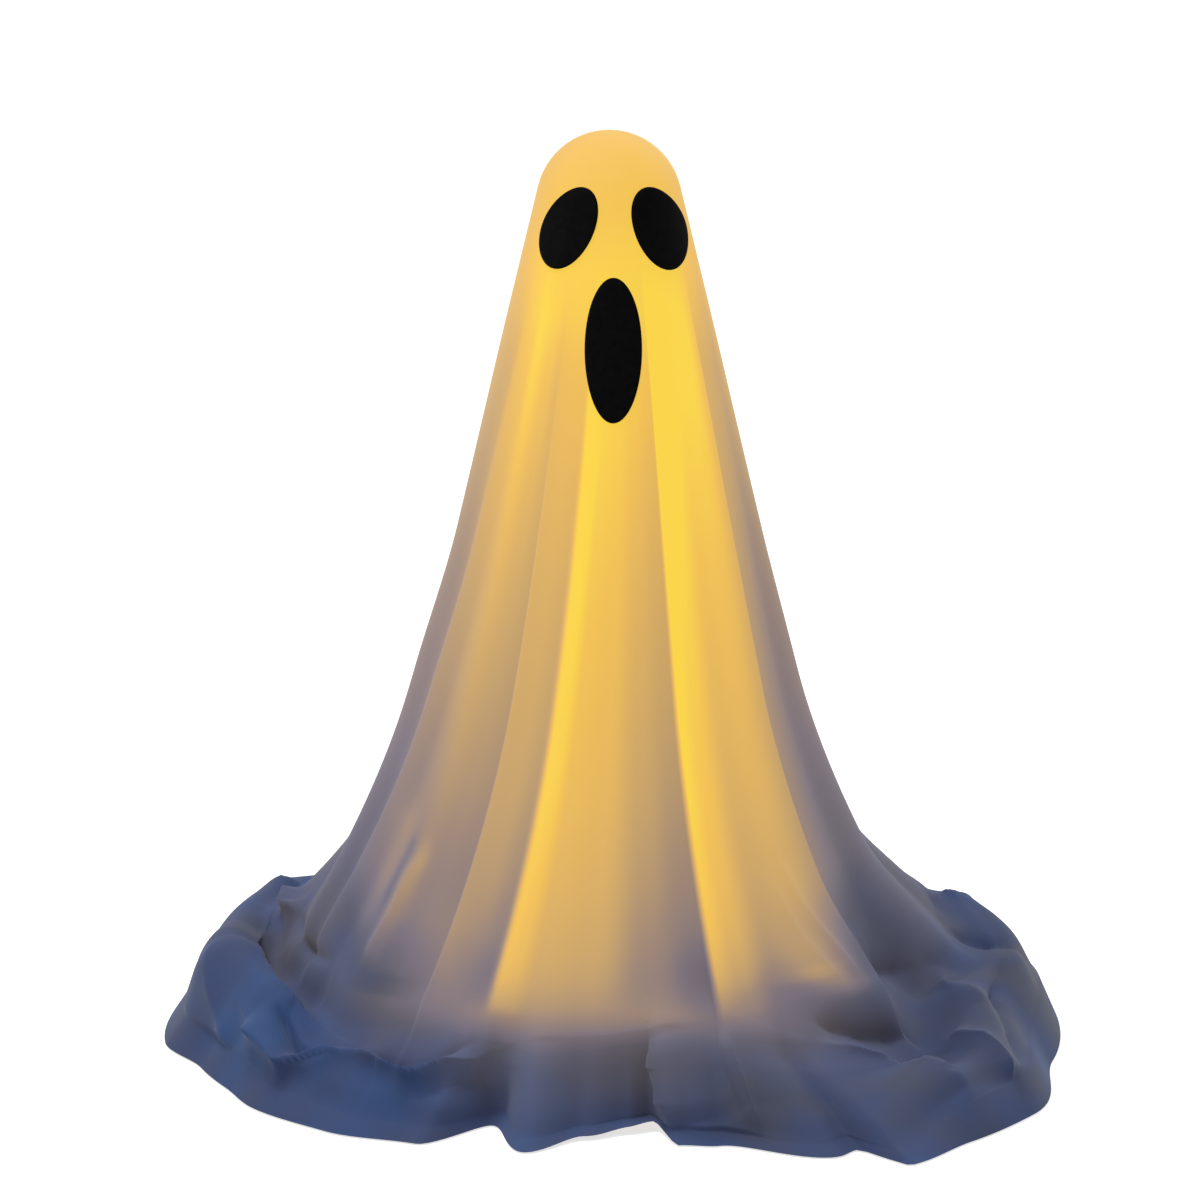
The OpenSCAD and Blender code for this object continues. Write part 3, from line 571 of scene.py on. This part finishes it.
@dataclass
class GhostSheet:
    """The draped sheet: a ball on a cone of folds, with slack cloth heaped round its foot."""

    # The ball, the cone and its flare
    height: float = 1.05
    head_r: float = 0.082
    slope: float = 0.24
    flare_z: float = 0.43
    flare_r: float = 0.112
    flare_power: float = 1.75
    # The heights where the folds begin, have their full depth and run into the heap
    fold_top: float = 0.86
    fold_full: float = 0.45
    foot_z: float = 0.13
    # The columns and rows of points, and the first ring's angle from the crown, in radians
    columns: int = 600
    body_rows: int = 104
    heap_rows: int = 84
    crown_rows: int = 14
    crown_from: float = 0.06
    # Two folds closer than sharp_gap make an edge, where columns stand up to 1 + sharp_gain times as dense
    sharp_gap: float = 2.0
    sharp_gain: float = 6.0
    sharp_wide: float = 1.4
    column_steps: int = 7201
    folds: tuple[Fold, ...] = tuple(Fold(*fold) for fold in (
        (-174, -172, 0, 0.03, 0.08), (-158, -157, 0.06, -0.06, -0.17), (-142, -142, 0, 0.03, 0.08),
        (-127, -127, 0.05, -0.05, -0.14), (-112, -112, 0, 0.02, 0.06), (-98, -98, 0.045, -0.04, -0.1),
        (-84, -82, 0), (-78, -58, 0.035, -0.14, -0.04), (-73.5, -53.5, 0.01, -0.08, -0.02),
        (-64, -46, 0.035, -0.06, -0.2), (-53, -41.5, 0.02, 0.02, -0.28), (-44, -32, 0.045, -0.08, -0.34),
        (-38, -25.5, 0.055, -0.16, -0.34), (-36.4, -23.9, 0.03, -0.14, -0.16), (-31, -18, 0.035, -0.12, -0.17),
        (-24.8, -10.4, 0.034, -0.1, -0.27), (-21.8, -7, 0.006, 0.05, 0.25), (-19.2, -4, 0, 0.1, 0.19),
        (-15, 0, 0.02, 0.02, 0.06), (-4, 6, 0.045, 0, 0.02), (8, 12, 0.055, -0.02, -0.19),
        (18, 18, 0.052, -0.06, -0.3), (20.4, 20.6, 0.05, -0.08, -0.3), (21.6, 21.8, 0.012, 0.16, 0.24),
        (26, 27, 0.004, 0.13, 0.12), (34, 37, 0.01, 0.06, -0.08), (46, 48, 0.012, 0.06, -0.03),
        (55, 54.5, 0.004, -0.02, -0.05), (56.6, 56, 0.038, -0.16, -0.11), (70, 70, 0.05, -0.12, -0.08),
        (84, 84, 0), (99, 99, 0.05, -0.04, -0.1), (114, 114, 0, 0.02, 0.06), (131, 131, 0.055, -0.05, -0.14),
        (148, 148, 0, 0.03, 0.08), (167, 168, 0.06, -0.06, -0.17)))
    # The hem's radius and height by angle
    outline: Pairs = (
        (-180, 0.5), (-150, 0.47), (-120, 0.5), (-100, 0.506), (-82, 0.513), (-71, 0.489), (-62, 0.488),
        (-53, 0.497), (-40, 0.49), (-27, 0.469), (-19.8, 0.38), (-12, 0.456), (-4, 0.405), (3, 0.385),
        (7.5, 0.375), (10.2, 0.43), (16, 0.442), (28.6, 0.524), (31.8, 0.515), (34, 0.588), (44, 0.572),
        (56, 0.57), (75, 0.522), (92, 0.52), (120, 0.49), (150, 0.52))
    hem_lift: Pairs = (
        (-180, 0.002), (-12, 0.002), (-3, 0.006), (7.5, 0.012), (10.2, 0.002))
    # How far the foot and the hip of the skirt stand out by angle, and where that sets in
    trumpet: Pairs = (
        (-180, 0.03), (-120, 0.03), (-104, 0.02), (-85, 0), (-66, 0), (-50, 0.01), (-35, 0), (30, 0),
        (50, 0.035), (68, 0), (85, 0.03), (104, 0.04), (130, 0.04))
    trumpet_ease: Ease = Ease(0.25, -0.14)
    trumpet_power: float = 1.5
    hip: Pairs = (
        (-180, 0), (-120, 0.008), (-85, 0.0105), (-50, 0.008), (-25, 0), (60, 0), (90, 0.003))
    hip_ease: Ease = Ease(0.60, -0.2)
    # The heap's heights by angle, in millimetres, at even steps from the skirt's foot to near the hem
    heap: tuple[tuple[float, tuple[float, ...]], ...] = (
        (-180, (100, 80, 62, 45, 15)), (-150, (106, 88, 78, 60, 25)), (-120, (108, 98, 104, 92, 40)),
        (-104, (108, 104, 112, 92, 36)), (-85, (84, 96, 116, 94, 34)), (-66, (84, 86, 98, 76, 30)),
        (-50, (80, 62, 60, 50, 22)), (-35, (88, 62, 50, 38, 15)), (-20, (105, 78, 50, 28, 10)),
        (-5, (105, 78, 50, 28, 10)), (10, (108, 84, 58, 34, 12)), (22, (90, 66, 46, 28, 10)),
        (34, (75, 55, 42, 28, 10)), (50, (60, 38, 48, 58, 38)), (68, (80, 82, 95, 82, 40)),
        (85, (106, 94, 98, 96, 52)), (104, (106, 100, 102, 98, 54)), (130, (108, 94, 88, 70, 30)),
        (155, (105, 88, 75, 55, 20)))
    hem_inset: float = 0.022
    # How much, how far and how often the bend at the foot is eased, in rows of points
    bend_share: float = 0.8
    bend_wide: float = 5.0
    bend_rows: int = 12
    bend_rounds: int = 20
    # Creases lie below crease_top and fade out over the last hem_rows
    crease_top: float = 0.35
    crispness: float = 0.9
    crease_gain: float = 1.35
    hem_rows: int = 5
    floor_gap: float = 0.002
    # How far the places on the heap run below the foot's height
    fade: float = 0.5
    # The weave: the angle of the flat fan of cloth, and the first ring's distance from its point
    fan: float = 150.0
    first_ring: float = 0.01
    lamp: LampGlow = field(default_factory=LampGlow)
    creases: tuple[Crease, ...] = tuple(Crease(*crease) for crease in (
        (((-95, 0.36), (-80, 0.5), (-66, 0.56), (-54, 0.3)), 15, 8, 45),
        (((-94, 0.04), (-80, 0.07), (-67, 0.04)), -15, 8, 8),
        (((-88, 0.26), (-76, 0.3), (-62, 0.24)), -10, 30, 30),
        (((-108, 0.06), (-101, 0.12), (-95, 0.03)), 20, 10, 12),
        (((-49.5, -0.13), (-50.5, -0.07), (-52, -0.01)), 8, 8, 14),
        (((44, -0.13), (47, -0.06), (50, 0)), 5, 6, 10), (((40, -0.11), (42, -0.05), (46, 0)), 4, 6, 12),
        (((-64, 0.84), (-52, 0.86), (-43, 0.58)), 25, 22, 9), (((-45, 0.58), (-33, 0.68), (-23, 0.42)), 24, 22, 9),
        (((-62, 0.66), (-53, 0.7), (-46, 0.46)), -13, 12, 9), (((-42, 0.42), (-33, 0.52), (-25, 0.3)), -14, 12, 9),
        (((-84, 0.66), (-76, 0.85), (-66, 1)), 9, 26, 40), (((-70, 0.4), (-58, 0.62), (-46, 0.95)), -10, 20, 14),
        (((-30, 0.8), (-22, 0.6), (-19, 1)), -8, 14, 10), (((-16, 0.3), (0, 0.24), (15, 0.14)), 5, 26, 7),
        (((8, 0.3), (9, 0.65), (10, 1)), 12, 45, 5), (((21, 0.14), (22, 0.5), (22, 0.95)), 9, 6, 40),
        (((38, 0.1), (46, 0.14), (55, 0.2)), -18, 9, 12),
        (((36, 0.16), (45, 0.28), (48, 0.6), (48, 0.9)), 18, 11, 50),
        (((58, 0.5), (57, 0.75), (55, 1)), 14, 20, 16), (((58, 0.02), (66, 0.06), (74, 0.14)), -17, 22, 16),
        (((97, 0.26), (92, 0.5), (88, 0.88)), -10, 12, 16), (((84, 0.6), (70, 0.74), (58, 0.94)), -10, 14, 9),
        (((78, 0.2), (72, 0.4), (66, 0.7)), 10, 14, 24), (((108, 0.1), (112, 0.5), (110, 0.95)), 12, 24, 16),
        (((128, 0.1), (126, 0.5), (130, 0.95)), 14, 16, 26), (((150, 0.1), (154, 0.5), (150, 0.95)), 14, 26, 16),
        (((172, 0.1), (170, 0.5), (176, 0.95)), 12, 16, 28),
        (((-162, 0.1), (-158, 0.5), (-163, 0.95)), 13, 26, 16),
        (((-140, 0.1), (-144, 0.5), (-140, 0.95)), 14, 16, 26),
        (((-122, 0.2), (-118, 0.6), (-124, 0.95)), 10, 22, 16)))

    @property
    def head_z(self) -> float:
        """The height of the head's centre."""
        return self.height - self.head_r

    @property
    def lean(self) -> float:
        """The cone's lean from upright, in radians."""
        return math.atan(self.slope)

    @property
    def neck(self) -> tuple[float, float]:
        """The radius and height where the ball runs into the cone."""
        return self.head_r * math.cos(self.lean), self.head_z + self.head_r * math.sin(self.lean)

    def envelope(self, z: Array) -> Array:
        """Give the sheet's outer radius.

        Args:
            z: The heights.

        Returns:
            The radius at each one.
        """
        neck_r, neck_z = self.neck
        ball = np.sqrt(np.maximum(0.0, self.head_r ** 2 - (z - self.head_z) ** 2))
        flare = self.flare_r * np.maximum(0.0, (self.flare_z - z) / self.flare_z) ** self.flare_power
        return np.where(z >= neck_z, ball, neck_r + self.slope * (neck_z - z) + flare)

    def around(self, pairs: Pairs, angle: Array) -> Array:
        """Read a curve given by pairs of angle and value round the pole, eased between them.

        Args:
            pairs: Angles in degrees, rising, within one turn, each with a value.
            angle: The angles to read.

        Returns:
            The values.
        """
        knots, values = np.array(pairs, float).T
        knots, values = three_turns(knots), np.tile(values, 3)
        turned = (angle + 180) % 360 - 180
        low = np.clip(np.searchsorted(knots, turned, "right") - 1, 0, len(knots) - 2)
        t = (turned - knots[low]) / (knots[low + 1] - knots[low])
        return values[low] + (values[low + 1] - values[low]) * smooth(t)

    def reach(self, z: float) -> float:
        """Say how far down the folds a height is, from 0 under the face to 1 at the floor."""
        return float(np.clip((self.fold_top - z) / (self.fold_top - self.foot_z), 0, 1))

    def fold_angles(self, z: float) -> Array:
        """Give the angle of every fold line at a height."""
        t = self.reach(z)
        return np.array([f.top + (f.foot - f.top) * t for f in self.folds])

    def turned(self, column: Array, z: float) -> Array:
        """Give the true angles at a height of columns named by their angles at the foot."""
        foot = np.array([f.foot for f in self.folds])
        return np.interp(column, three_turns(foot), three_turns(self.fold_angles(z)))

    def radius(self, angle: Array, z: float) -> Array:
        """Give the sheet's radius at a height, folds included.

        Args:
            angle: True angles in degrees.
            z: The height.

        Returns:
            The radii.
        """
        depth = self.around(tuple(zip(self.fold_angles(z), (f.depth for f in self.folds))), angle)
        strength = smooth((self.fold_top - z) / (self.fold_top - self.fold_full))
        flow = self.around(self.trumpet, angle) * self.trumpet_ease.at(z) ** self.trumpet_power
        flow += self.around(self.hip, angle) * self.hip_ease.at(z)
        return self.envelope(np.array(z)) * (1 - depth * strength) + flow

    def column_angles(self) -> Array:
        """Space the columns evenly, but close together at the sharp edges of folds."""
        fine = np.linspace(-180, 180, self.column_steps)
        density = np.ones_like(fine)
        for near, far in zip(self.folds, self.folds[1:]):
            if far.foot - near.foot < self.sharp_gap:
                away = fine - (near.foot + far.foot) / 2
                density += self.sharp_gain * np.exp(-((away / self.sharp_wide) ** 2))
        total = np.concatenate([[0], np.cumsum((density[1:] + density[:-1]) / 2)])
        wanted = np.arange(self.columns) / self.columns * total[-1]
        return np.interp(wanted, total, fine)

    def heap_line(self, angle: Array, share: float) -> tuple[Array, Array]:
        """Give a line round the heap that the slack falls on.

        Args:
            angle: Angles round the pole in degrees.
            share: How far out, from 0 at the skirt's foot to 1 near the hem.

        Returns:
            The radii and the heights.
        """
        inner = self.radius(angle, self.foot_z)
        outer = self.around(self.outline, angle) - self.hem_inset
        steps = len(self.heap[0][1])
        knots = [np.full_like(angle, self.foot_z / MM)]
        knots += [self.around(tuple((a, h[i]) for a, h in self.heap), angle) for i in range(steps)]
        height = between_rows(np.array(knots), share * steps) * MM
        return inner + (outer - inner) * share, height

    def spot(self, angle: float, share: float) -> Array:
        """Give a point of the plain form.

        Args:
            angle: Its angle round the pole.
            share: How far out it lies, as in Crease.

        Returns:
            The point.
        """
        at = np.array([angle], float)
        if share >= 0:
            r, z = self.heap_line(at, share)
        else:
            z = np.array([self.foot_z - share])
            r = self.radius(at, z[0])
        return pole_points(at, r, z)[0]

    def crumple(self, rows: Array) -> Array:
        """Push the creases out of the plain form, square to it.

        Args:
            rows: The skirt's and the heap's points by row, column and axis, the hem last.

        Returns:
            The creased points.
        """
        across = np.roll(rows, -1, 1) - np.roll(rows, 1, 1)
        square = np.cross(np.gradient(rows, axis=0), across)
        square /= np.linalg.norm(square, axis=-1, keepdims=True)
        rise = np.zeros(rows.shape[:2])
        for crease in self.creases:
            course = np.array([self.spot(angle, share) for angle, share in crease.line])
            rise += self.crease_gain * crease.lift(rows, square, course, self.crispness)
        free = smooth(np.arange(len(rows))[::-1] / self.hem_rows).reshape(-1, 1)
        creased = rows + square * (rise * free)[..., None]
        creased[..., 2] = np.maximum(creased[..., 2], self.floor_gap)
        return creased

    def points(self) -> tuple[Array, Array]:
        """Build the whole sheet as rows of points from the crown to the hem.

        Returns:
            The points by row, column and axis, and for each row its place down the cloth: the height on
            the body, and less than the foot's height on the heap.
        """
        column = self.column_angles()
        polar = np.linspace(self.crown_from, math.pi / 2 - self.lean, self.crown_rows)
        crown = [self.height - self.head_r * (1 - math.cos(a)) for a in polar]
        heights = crown + list(np.linspace(self.neck[1], self.foot_z, self.body_rows)[1:])
        rows = []
        for z in heights:
            angle = self.turned(column, z)
            rows.append(pole_points(angle, self.radius(angle, z), np.full_like(angle, z)))
        angle = self.turned(column, self.foot_z)
        shares = np.linspace(0, 1, self.heap_rows + 1)[1:]
        lines = [self.heap_line(angle, share) for share in shares]
        lines.append((self.around(self.outline, angle), self.around(self.hem_lift, angle)))
        rows += [pole_points(angle, r, z) for r, z in lines]
        rows = self.settle(np.array(rows), len(heights))
        low = int(np.searchsorted(-np.array(heights), -self.crease_top))
        rows[low:] = self.crumple(rows[low:])
        return rows, np.concatenate([heights, self.foot_z - self.fade * np.append(shares, 1.0)])

    def settle(self, rows: Array, foot: int) -> Array:
        """Ease the bend where the skirt runs into the heap.

        Args:
            rows: The sheet's points by row, column and axis.
            foot: The first row of the heap.

        Returns:
            The eased points.
        """
        eased = rows.copy()
        away = np.arange(len(rows)) - foot
        share = self.bend_share * np.exp(-((away / self.bend_wide) ** 2))
        share[np.abs(away) > self.bend_rows] = 0
        for _ in range(self.bend_rounds):
            mean = eased.copy()
            mean[1:-1] = (eased[:-2] + eased[2:]) / 2
            eased += share[:, None, None] * (mean - eased)
        return eased

    def glow(self, column: Array, place: Array) -> Array:
        """Say how much painted lamp light comes through, from 0 to 1.

        Args:
            column: The columns' angles at the foot.
            place: Each row's place down the cloth, as points() gives it.

        Returns:
            The light by row and column.
        """
        rows = []
        for z in place:
            height = max(z, self.foot_z)
            angle, t = self.turned(column, height), self.reach(height)
            bright = (f.bright_top + (f.bright_low - f.bright_top) * t for f in self.folds)
            folds = self.around(tuple(zip(self.fold_angles(height), bright)), angle)
            rows.append(self.lamp.row(angle, z, folds))
        return np.array(rows)

    def build(self) -> Object:
        """Make the sheet as one mesh with its painted glow and its weave's coordinates."""
        points, place = self.points()
        rows, columns = points.shape[:2]
        column = self.column_angles()
        flat = points.reshape(-1, 3)
        apex = np.array([[0, 0, self.height]])
        faces = grid_faces(rows, columns)
        top = rows * columns
        faces += [(top, j, (j + 1) % columns) for j in range(columns)]
        piece = mesh_piece("draped_sheet", np.concatenate([flat, apex]), faces, VOILE)
        mesh = piece.data
        # The glow attribute is painted lamp light and shade: the material turns it into base colour and emission
        light = self.glow(column, place)
        attribute = mesh.attributes.new("glow", "FLOAT", "POINT")
        attribute.data.foreach_set("value", np.append(light.reshape(-1), light[0].mean()).astype(np.float32))
        self.lay_weave(mesh, points, column)
        return piece

    def lay_weave(self, mesh: Mesh, points: Array, column: Array) -> None:
        """Store how far round and down the cloth each corner lies, in metres.

        Args:
            mesh: The sheet's mesh.
            points: Its points by row, column and axis.
            column: The columns' angles.
        """
        rows, columns = points.shape[:2]
        steps = np.linalg.norm(np.diff(points, axis=0), axis=2).mean(axis=1)
        down = self.first_ring + np.concatenate([[0], np.cumsum(steps)])
        corner = np.empty(len(mesh.loops), np.int32)
        mesh.loops.foreach_get("vertex_index", corner)
        row, col = np.divmod(corner, columns)
        apex = row >= rows
        row = np.minimum(row, rows - 1)
        turn = (column[col] + 180) / 360 * math.radians(self.fan)
        reach = np.where(apex, 0.0, down[row])
        uv = np.stack([reach * np.cos(turn), reach * np.sin(turn)], axis=1)
        mesh.uv_layers.new(name="cloth").data.foreach_set("uv", uv.reshape(-1).astype(np.float32))


@dataclass
class FeltOval:
    """One felt oval of the face, lying on the sheet.

    Its middle is at x and z. Long and short are half its length and width, and lean is in degrees to the left.
    Its back lies lift above the sheet, and its front edge is rounded over the rim's width.
    """

    name: str
    node: str
    x: float
    z: float
    long: float
    short: float
    lean: float
    lift: float = 0.0008
    thickness: float = 0.0014
    rim: float = 0.0006
    rim_start: float = 0.6
    least: float = 1e-4
    rings: int = 16
    points: int = 96

    def build(self, sheet: GhostSheet) -> Object:
        """Make the oval as a thin pad with a rounded rim.

        Args:
            sheet: The sheet that it lies on.

        Returns:
            The new object.
        """
        top, inner = self.lift + self.thickness, 1 - self.rim / self.short
        shares = [1 - i / self.rings for i in range(self.rings)]
        rings = [self.ring(sheet, share, self.lift) for share in shares[::-1]]
        rings.append(self.ring(sheet, 1.0, self.lift + self.rim_start * self.thickness))
        rings += [self.ring(sheet, share * inner, top) for share in shares]
        middles = [self.place(sheet, np.zeros(1), np.zeros(1), out) for out in (top, self.lift)]
        points = np.concatenate(rings + middles)
        count = len(rings)
        faces = grid_faces(count, self.points)
        last = (count - 1) * self.points
        total = count * self.points
        faces += [(last + j, total, last + (j + 1) % self.points) for j in range(self.points)]
        faces += [(j, (j + 1) % self.points, total + 1) for j in range(self.points)]
        piece = mesh_piece(self.name, points, faces, FELT)
        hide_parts(self.node)
        return piece

    def ring(self, sheet: GhostSheet, share: float, out: float) -> Array:
        """Give one ring of points.

        Args:
            sheet: The sheet below.
            share: The ring's size as a share of the oval's.
            out: How far out from the sheet it lies.

        Returns:
            Its points.
        """
        a = np.radians(360 * np.arange(self.points) / self.points)
        u, v = self.short * share * np.cos(a), self.long * share * np.sin(a)
        cos, sin = math.cos(math.radians(self.lean)), math.sin(math.radians(self.lean))
        return self.place(sheet, u * cos - v * sin, u * sin + v * cos, out)

    def place(self, sheet: GhostSheet, across: Array, up: Array, out: float) -> Array:
        """Set points of the face's plane back onto the sheet.

        Args:
            sheet: The sheet below.
            across: How far to the side of the oval's middle the points lie.
            up: How far above it.
            out: How far out from the sheet they lie.

        Returns:
            The points.
        """
        x, z = self.x + across, self.z + up
        angle = np.degrees(np.arcsin(np.clip(x / sheet.envelope(z), -1, 1)))
        r = np.array([sheet.radius(a, height) for a, height in zip(angle, z)]).reshape(-1)
        r = np.maximum(r, np.abs(x) + self.least) + out
        return np.stack([x * (1 + out / r), -np.sqrt(np.maximum(r ** 2 - x ** 2, 0)), z], axis=1)


@dataclass
class HoopTapes:
    """The woven tapes that hang the hoops, one under each of four ridges."""

    angles: tuple[float, ...] = (-142.0, -56.0, 25.0, 114.0)
    width: float = 0.012
    thickness: float = 0.0008
    gap: float = 0.0004
    above: float = 0.025
    below: float = 0.012

    def build(self) -> Object:
        """Make the tapes along the dome's skirt and over the hoops."""
        dome_low, dome_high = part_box("head_dome")
        dome_r = dome_high.x
        line = [(dome_r + self.gap, dome_low.z + self.above), (dome_r + self.gap, dome_low.z)]
        for node in ("shoulder_hoop", "middle_hoop", "lower_hoop"):
            low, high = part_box(node)
            line.append((high.x + self.gap, (low.z + high.z) / 2))
        line.append((line[-1][0], line[-1][1] - self.below))
        points: list[tuple[float, float, float]] = []
        faces: list[tuple[int, ...]] = []
        for angle in self.angles:
            turn = Matrix.Rotation(math.radians(angle + FRONT), 4, "Z")
            start = len(points)
            for r, z in line:
                for depth, side in ((0, -1), (0, 1), (1, 1), (1, -1)):
                    points.append(tuple(turn @ Vector((r + depth * self.thickness, side * self.width / 2, z))))
            for i in range(len(line) - 1):
                a, b = start + 4 * i, start + 4 * (i + 1)
                faces += [(a + k, a + (k + 1) % 4, b + (k + 1) % 4, b + k) for k in range(4)]
            end = start + 4 * (len(line) - 1)
            faces += [(start + 3, start + 2, start + 1, start), (end, end + 1, end + 2, end + 3)]
        piece = mesh_piece("woven_tapes", np.array(points), faces, TAPE)
        piece.data.polygons.foreach_set("use_smooth", [False] * len(piece.data.polygons))
        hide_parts("hoop_tapes")
        return piece


class NodeFinish(Enum):
    """What each carried-over piece of the stand, the lamp and the battery box is made of."""

    FROSTED = (DOME, ("head_dome", "ring_lens"))
    CHIPS = (CHIP, ("crown_leds", "ring_leds"))
    WHITE = (WHITE_ABS, ("lamp_plate",))
    BLACK = (BLACK_ABS, ("battery_tray", "battery_cover", "pole_clip", "clamp_collar", "socket_screw",
                         "switch_body"))
    ORANGE = (ORANGE_ABS, ("clamp_lever",))
    NYLON = (NYLON, ("pole_bush", "pivot_washer", "switch_slider"))
    BOARDS = (BOARD, ("crown_board", "ring_board"))
    PLATED = (ZINC, ("dome_screws", "lens_screws", "clip_screws", "lever_pin", "pivot_bolt", "pivot_nut",
                     "battery_contacts"))
    WIRE = (WIRE, ("shoulder_hoop", "middle_hoop", "lower_hoop", "shoulder_ferrule", "middle_ferrule",
                   "lower_ferrule"))
    WHITE_TUBE = (WHITE_COAT, ("upper_pole", "lower_pole"))
    GREY_STEEL = (GREY_COAT, ("lower_leg", "upper_leg", "pole_socket"))
    RUBBER = (RUBBER, ("centre_pad", "lower_leg_feet", "upper_leg_feet"))
    CELLS = (CELL_WRAP, ("battery_cells",))
    LEAD = (SLEEVE, ("lamp_lead",))

    def dress(self, nodes: dict[str, Object]) -> None:
        """Put the finish on its nodes.

        Args:
            nodes: The frame's nodes by name.
        """
        finish, names = self.value
        for name in names:
            for slot in nodes[name].material_slots:
                slot.material = finish.material()
            LOG.info("%s: %s", name, finish.name)


@dataclass(frozen=True)
class SoftLight:
    """A square soft light: its place and side in metres and its power in watts."""

    name: str
    place: tuple[float, float, float]
    side: float
    watts: float

    def hang(self, aim: Vector) -> None:
        """Hang the light.

        Args:
            aim: The point that it looks at.
        """
        light = bpy.data.lights.new(self.name, "AREA")
        light.size = self.side
        light.energy = self.watts
        lamp = bpy.data.objects.new(self.name, light)
        lamp.location = self.place
        lamp.rotation_euler = (aim - Vector(self.place)).to_track_quat("-Z", "Y").to_euler()
        bpy.context.scene.collection.objects.link(lamp)


@dataclass
class Studio:
    """A pale floor, soft light and the camera at the photograph's angle."""

    elevation: float = 15.0
    distance: float = 8.0
    scale_px: float = 880.0
    aim_z: float = 0.508
    axis_px: float = 609.0
    sensor_mm: float = 36.0
    floor_half: float = 30.0
    floor_lift: float = 0.68
    world_strength: float = 0.5
    lights: tuple[SoftLight, ...] = (
        SoftLight("key_light", (-1.3, -0.1, 4.0), 1.8, 110.0), SoftLight("back_light", (2.6, 2.4, 2.6), 2.0, 45.0))

    def build(self) -> None:
        """Make the floor, the lights and the camera."""
        self.make_floor()
        self.make_world()
        for light in self.lights:
            light.hang(Vector((0, 0, self.aim_z)))
        self.make_camera()
        bpy.context.scene.view_settings.view_transform = "Standard"

    def make_floor(self) -> None:
        """Lay a matt pale floor."""
        half = self.floor_half
        corners = np.array([[-half, -half, 0], [half, -half, 0], [half, half, 0], [-half, half, 0]])
        # Seamless studio paper: even and matt, with a faint tooth
        paper = Finish("studio_paper", "#CFCFCE", "#CDCDCC", roughness=0.9, grain_mm=4, bump=0.02, patch_mm=400)
        floor = mesh_piece("floor", corners, [(0, 1, 2, 3)], paper)
        self.whiten(floor.active_material.node_tree)

    def whiten(self, tree: NodeTree) -> None:
        """Lift the paper towards white where the camera, metal or glass sees it, and keep the shadows.

        Args:
            tree: The paper's material tree.
        """
        shader = tree.nodes["Principled BSDF"]
        path = add_node(tree, "ShaderNodeLightPath").outputs
        seen = path["Is Camera Ray"]
        for other in ("Is Glossy Ray", "Is Transmission Ray"):
            seen = add_node(tree, "ShaderNodeMath", {"operation": "MAXIMUM"}, {0: seen, 1: path[other]}).outputs[0]
        lift = add_node(tree, "ShaderNodeMath", {"operation": "MULTIPLY", 1: self.floor_lift}, {0: seen})
        shader.inputs["Emission Color"].default_value = WHITE_LIGHT
        tree.links.new(lift.outputs[0], shader.inputs["Emission Strength"])

    def make_world(self) -> None:
        """Surround the scene with even white light."""
        world = bpy.data.worlds.new("studio")
        bpy.context.scene.world = world
        world.use_nodes = True
        background = world.node_tree.nodes["Background"]
        background.inputs["Color"].default_value = WHITE_LIGHT
        background.inputs["Strength"].default_value = self.world_strength

    def make_camera(self) -> None:
        """Set the camera so that the ghost stands in the frame as in the photograph."""
        data = bpy.data.cameras.new("camera")
        data.sensor_width = self.sensor_mm
        data.lens = self.sensor_mm * self.scale_px * self.distance / PHOTO_PX
        camera = bpy.data.objects.new("camera", data)
        aside = (PHOTO_PX / 2 - self.axis_px) / self.scale_px
        rise = math.radians(self.elevation)
        camera.location = (aside, -self.distance * math.cos(rise), self.aim_z + self.distance * math.sin(rise))
        camera.rotation_euler = (math.pi / 2 - rise, 0, 0)
        bpy.context.scene.collection.objects.link(camera)
        bpy.context.scene.camera = camera


@dataclass
class Ghost:
    """The whole ghost: soft pieces made here and the stand's pieces dressed."""

    sheet: GhostSheet = field(default_factory=GhostSheet)
    face: tuple[FeltOval, ...] = (
        FeltOval("left_eye", "left_eye_felt", -0.0445, 0.9555, 0.049, 0.0265, -27),
        FeltOval("right_eye", "right_eye_felt", 0.0555, 0.9535, 0.049, 0.0265, 24),
        FeltOval("mouth", "mouth_felt", 0.0045, 0.826, 0.0785, 0.0315, 0))
    tapes: HoopTapes = field(default_factory=HoopTapes)
    drop: float = 0.3

    def build(self, frame: dict) -> None:
        """Make every piece and say what it rides on.

        Args:
            frame: The loaded frame.
        """
        for finish in NodeFinish:
            finish.dress(frame["nodes"])
        sheet = self.sheet.build()
        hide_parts("ghost_sheet")
        ovals = [oval.build(self.sheet) for oval in self.face]
        tapes = self.tapes.build()
        for piece in [sheet, tapes, *ovals]:
            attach(piece, "stand")
            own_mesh(piece)
            LOG.info("%s: %d faces", piece.name, len(piece.data.polygons))


def main() -> None:
    """Build the scene."""
    logging.basicConfig(level=logging.INFO, format="%(message)s")
    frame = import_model()
    Ghost().build(frame)
    Studio().build()


if __name__ == "__main__":
    main()
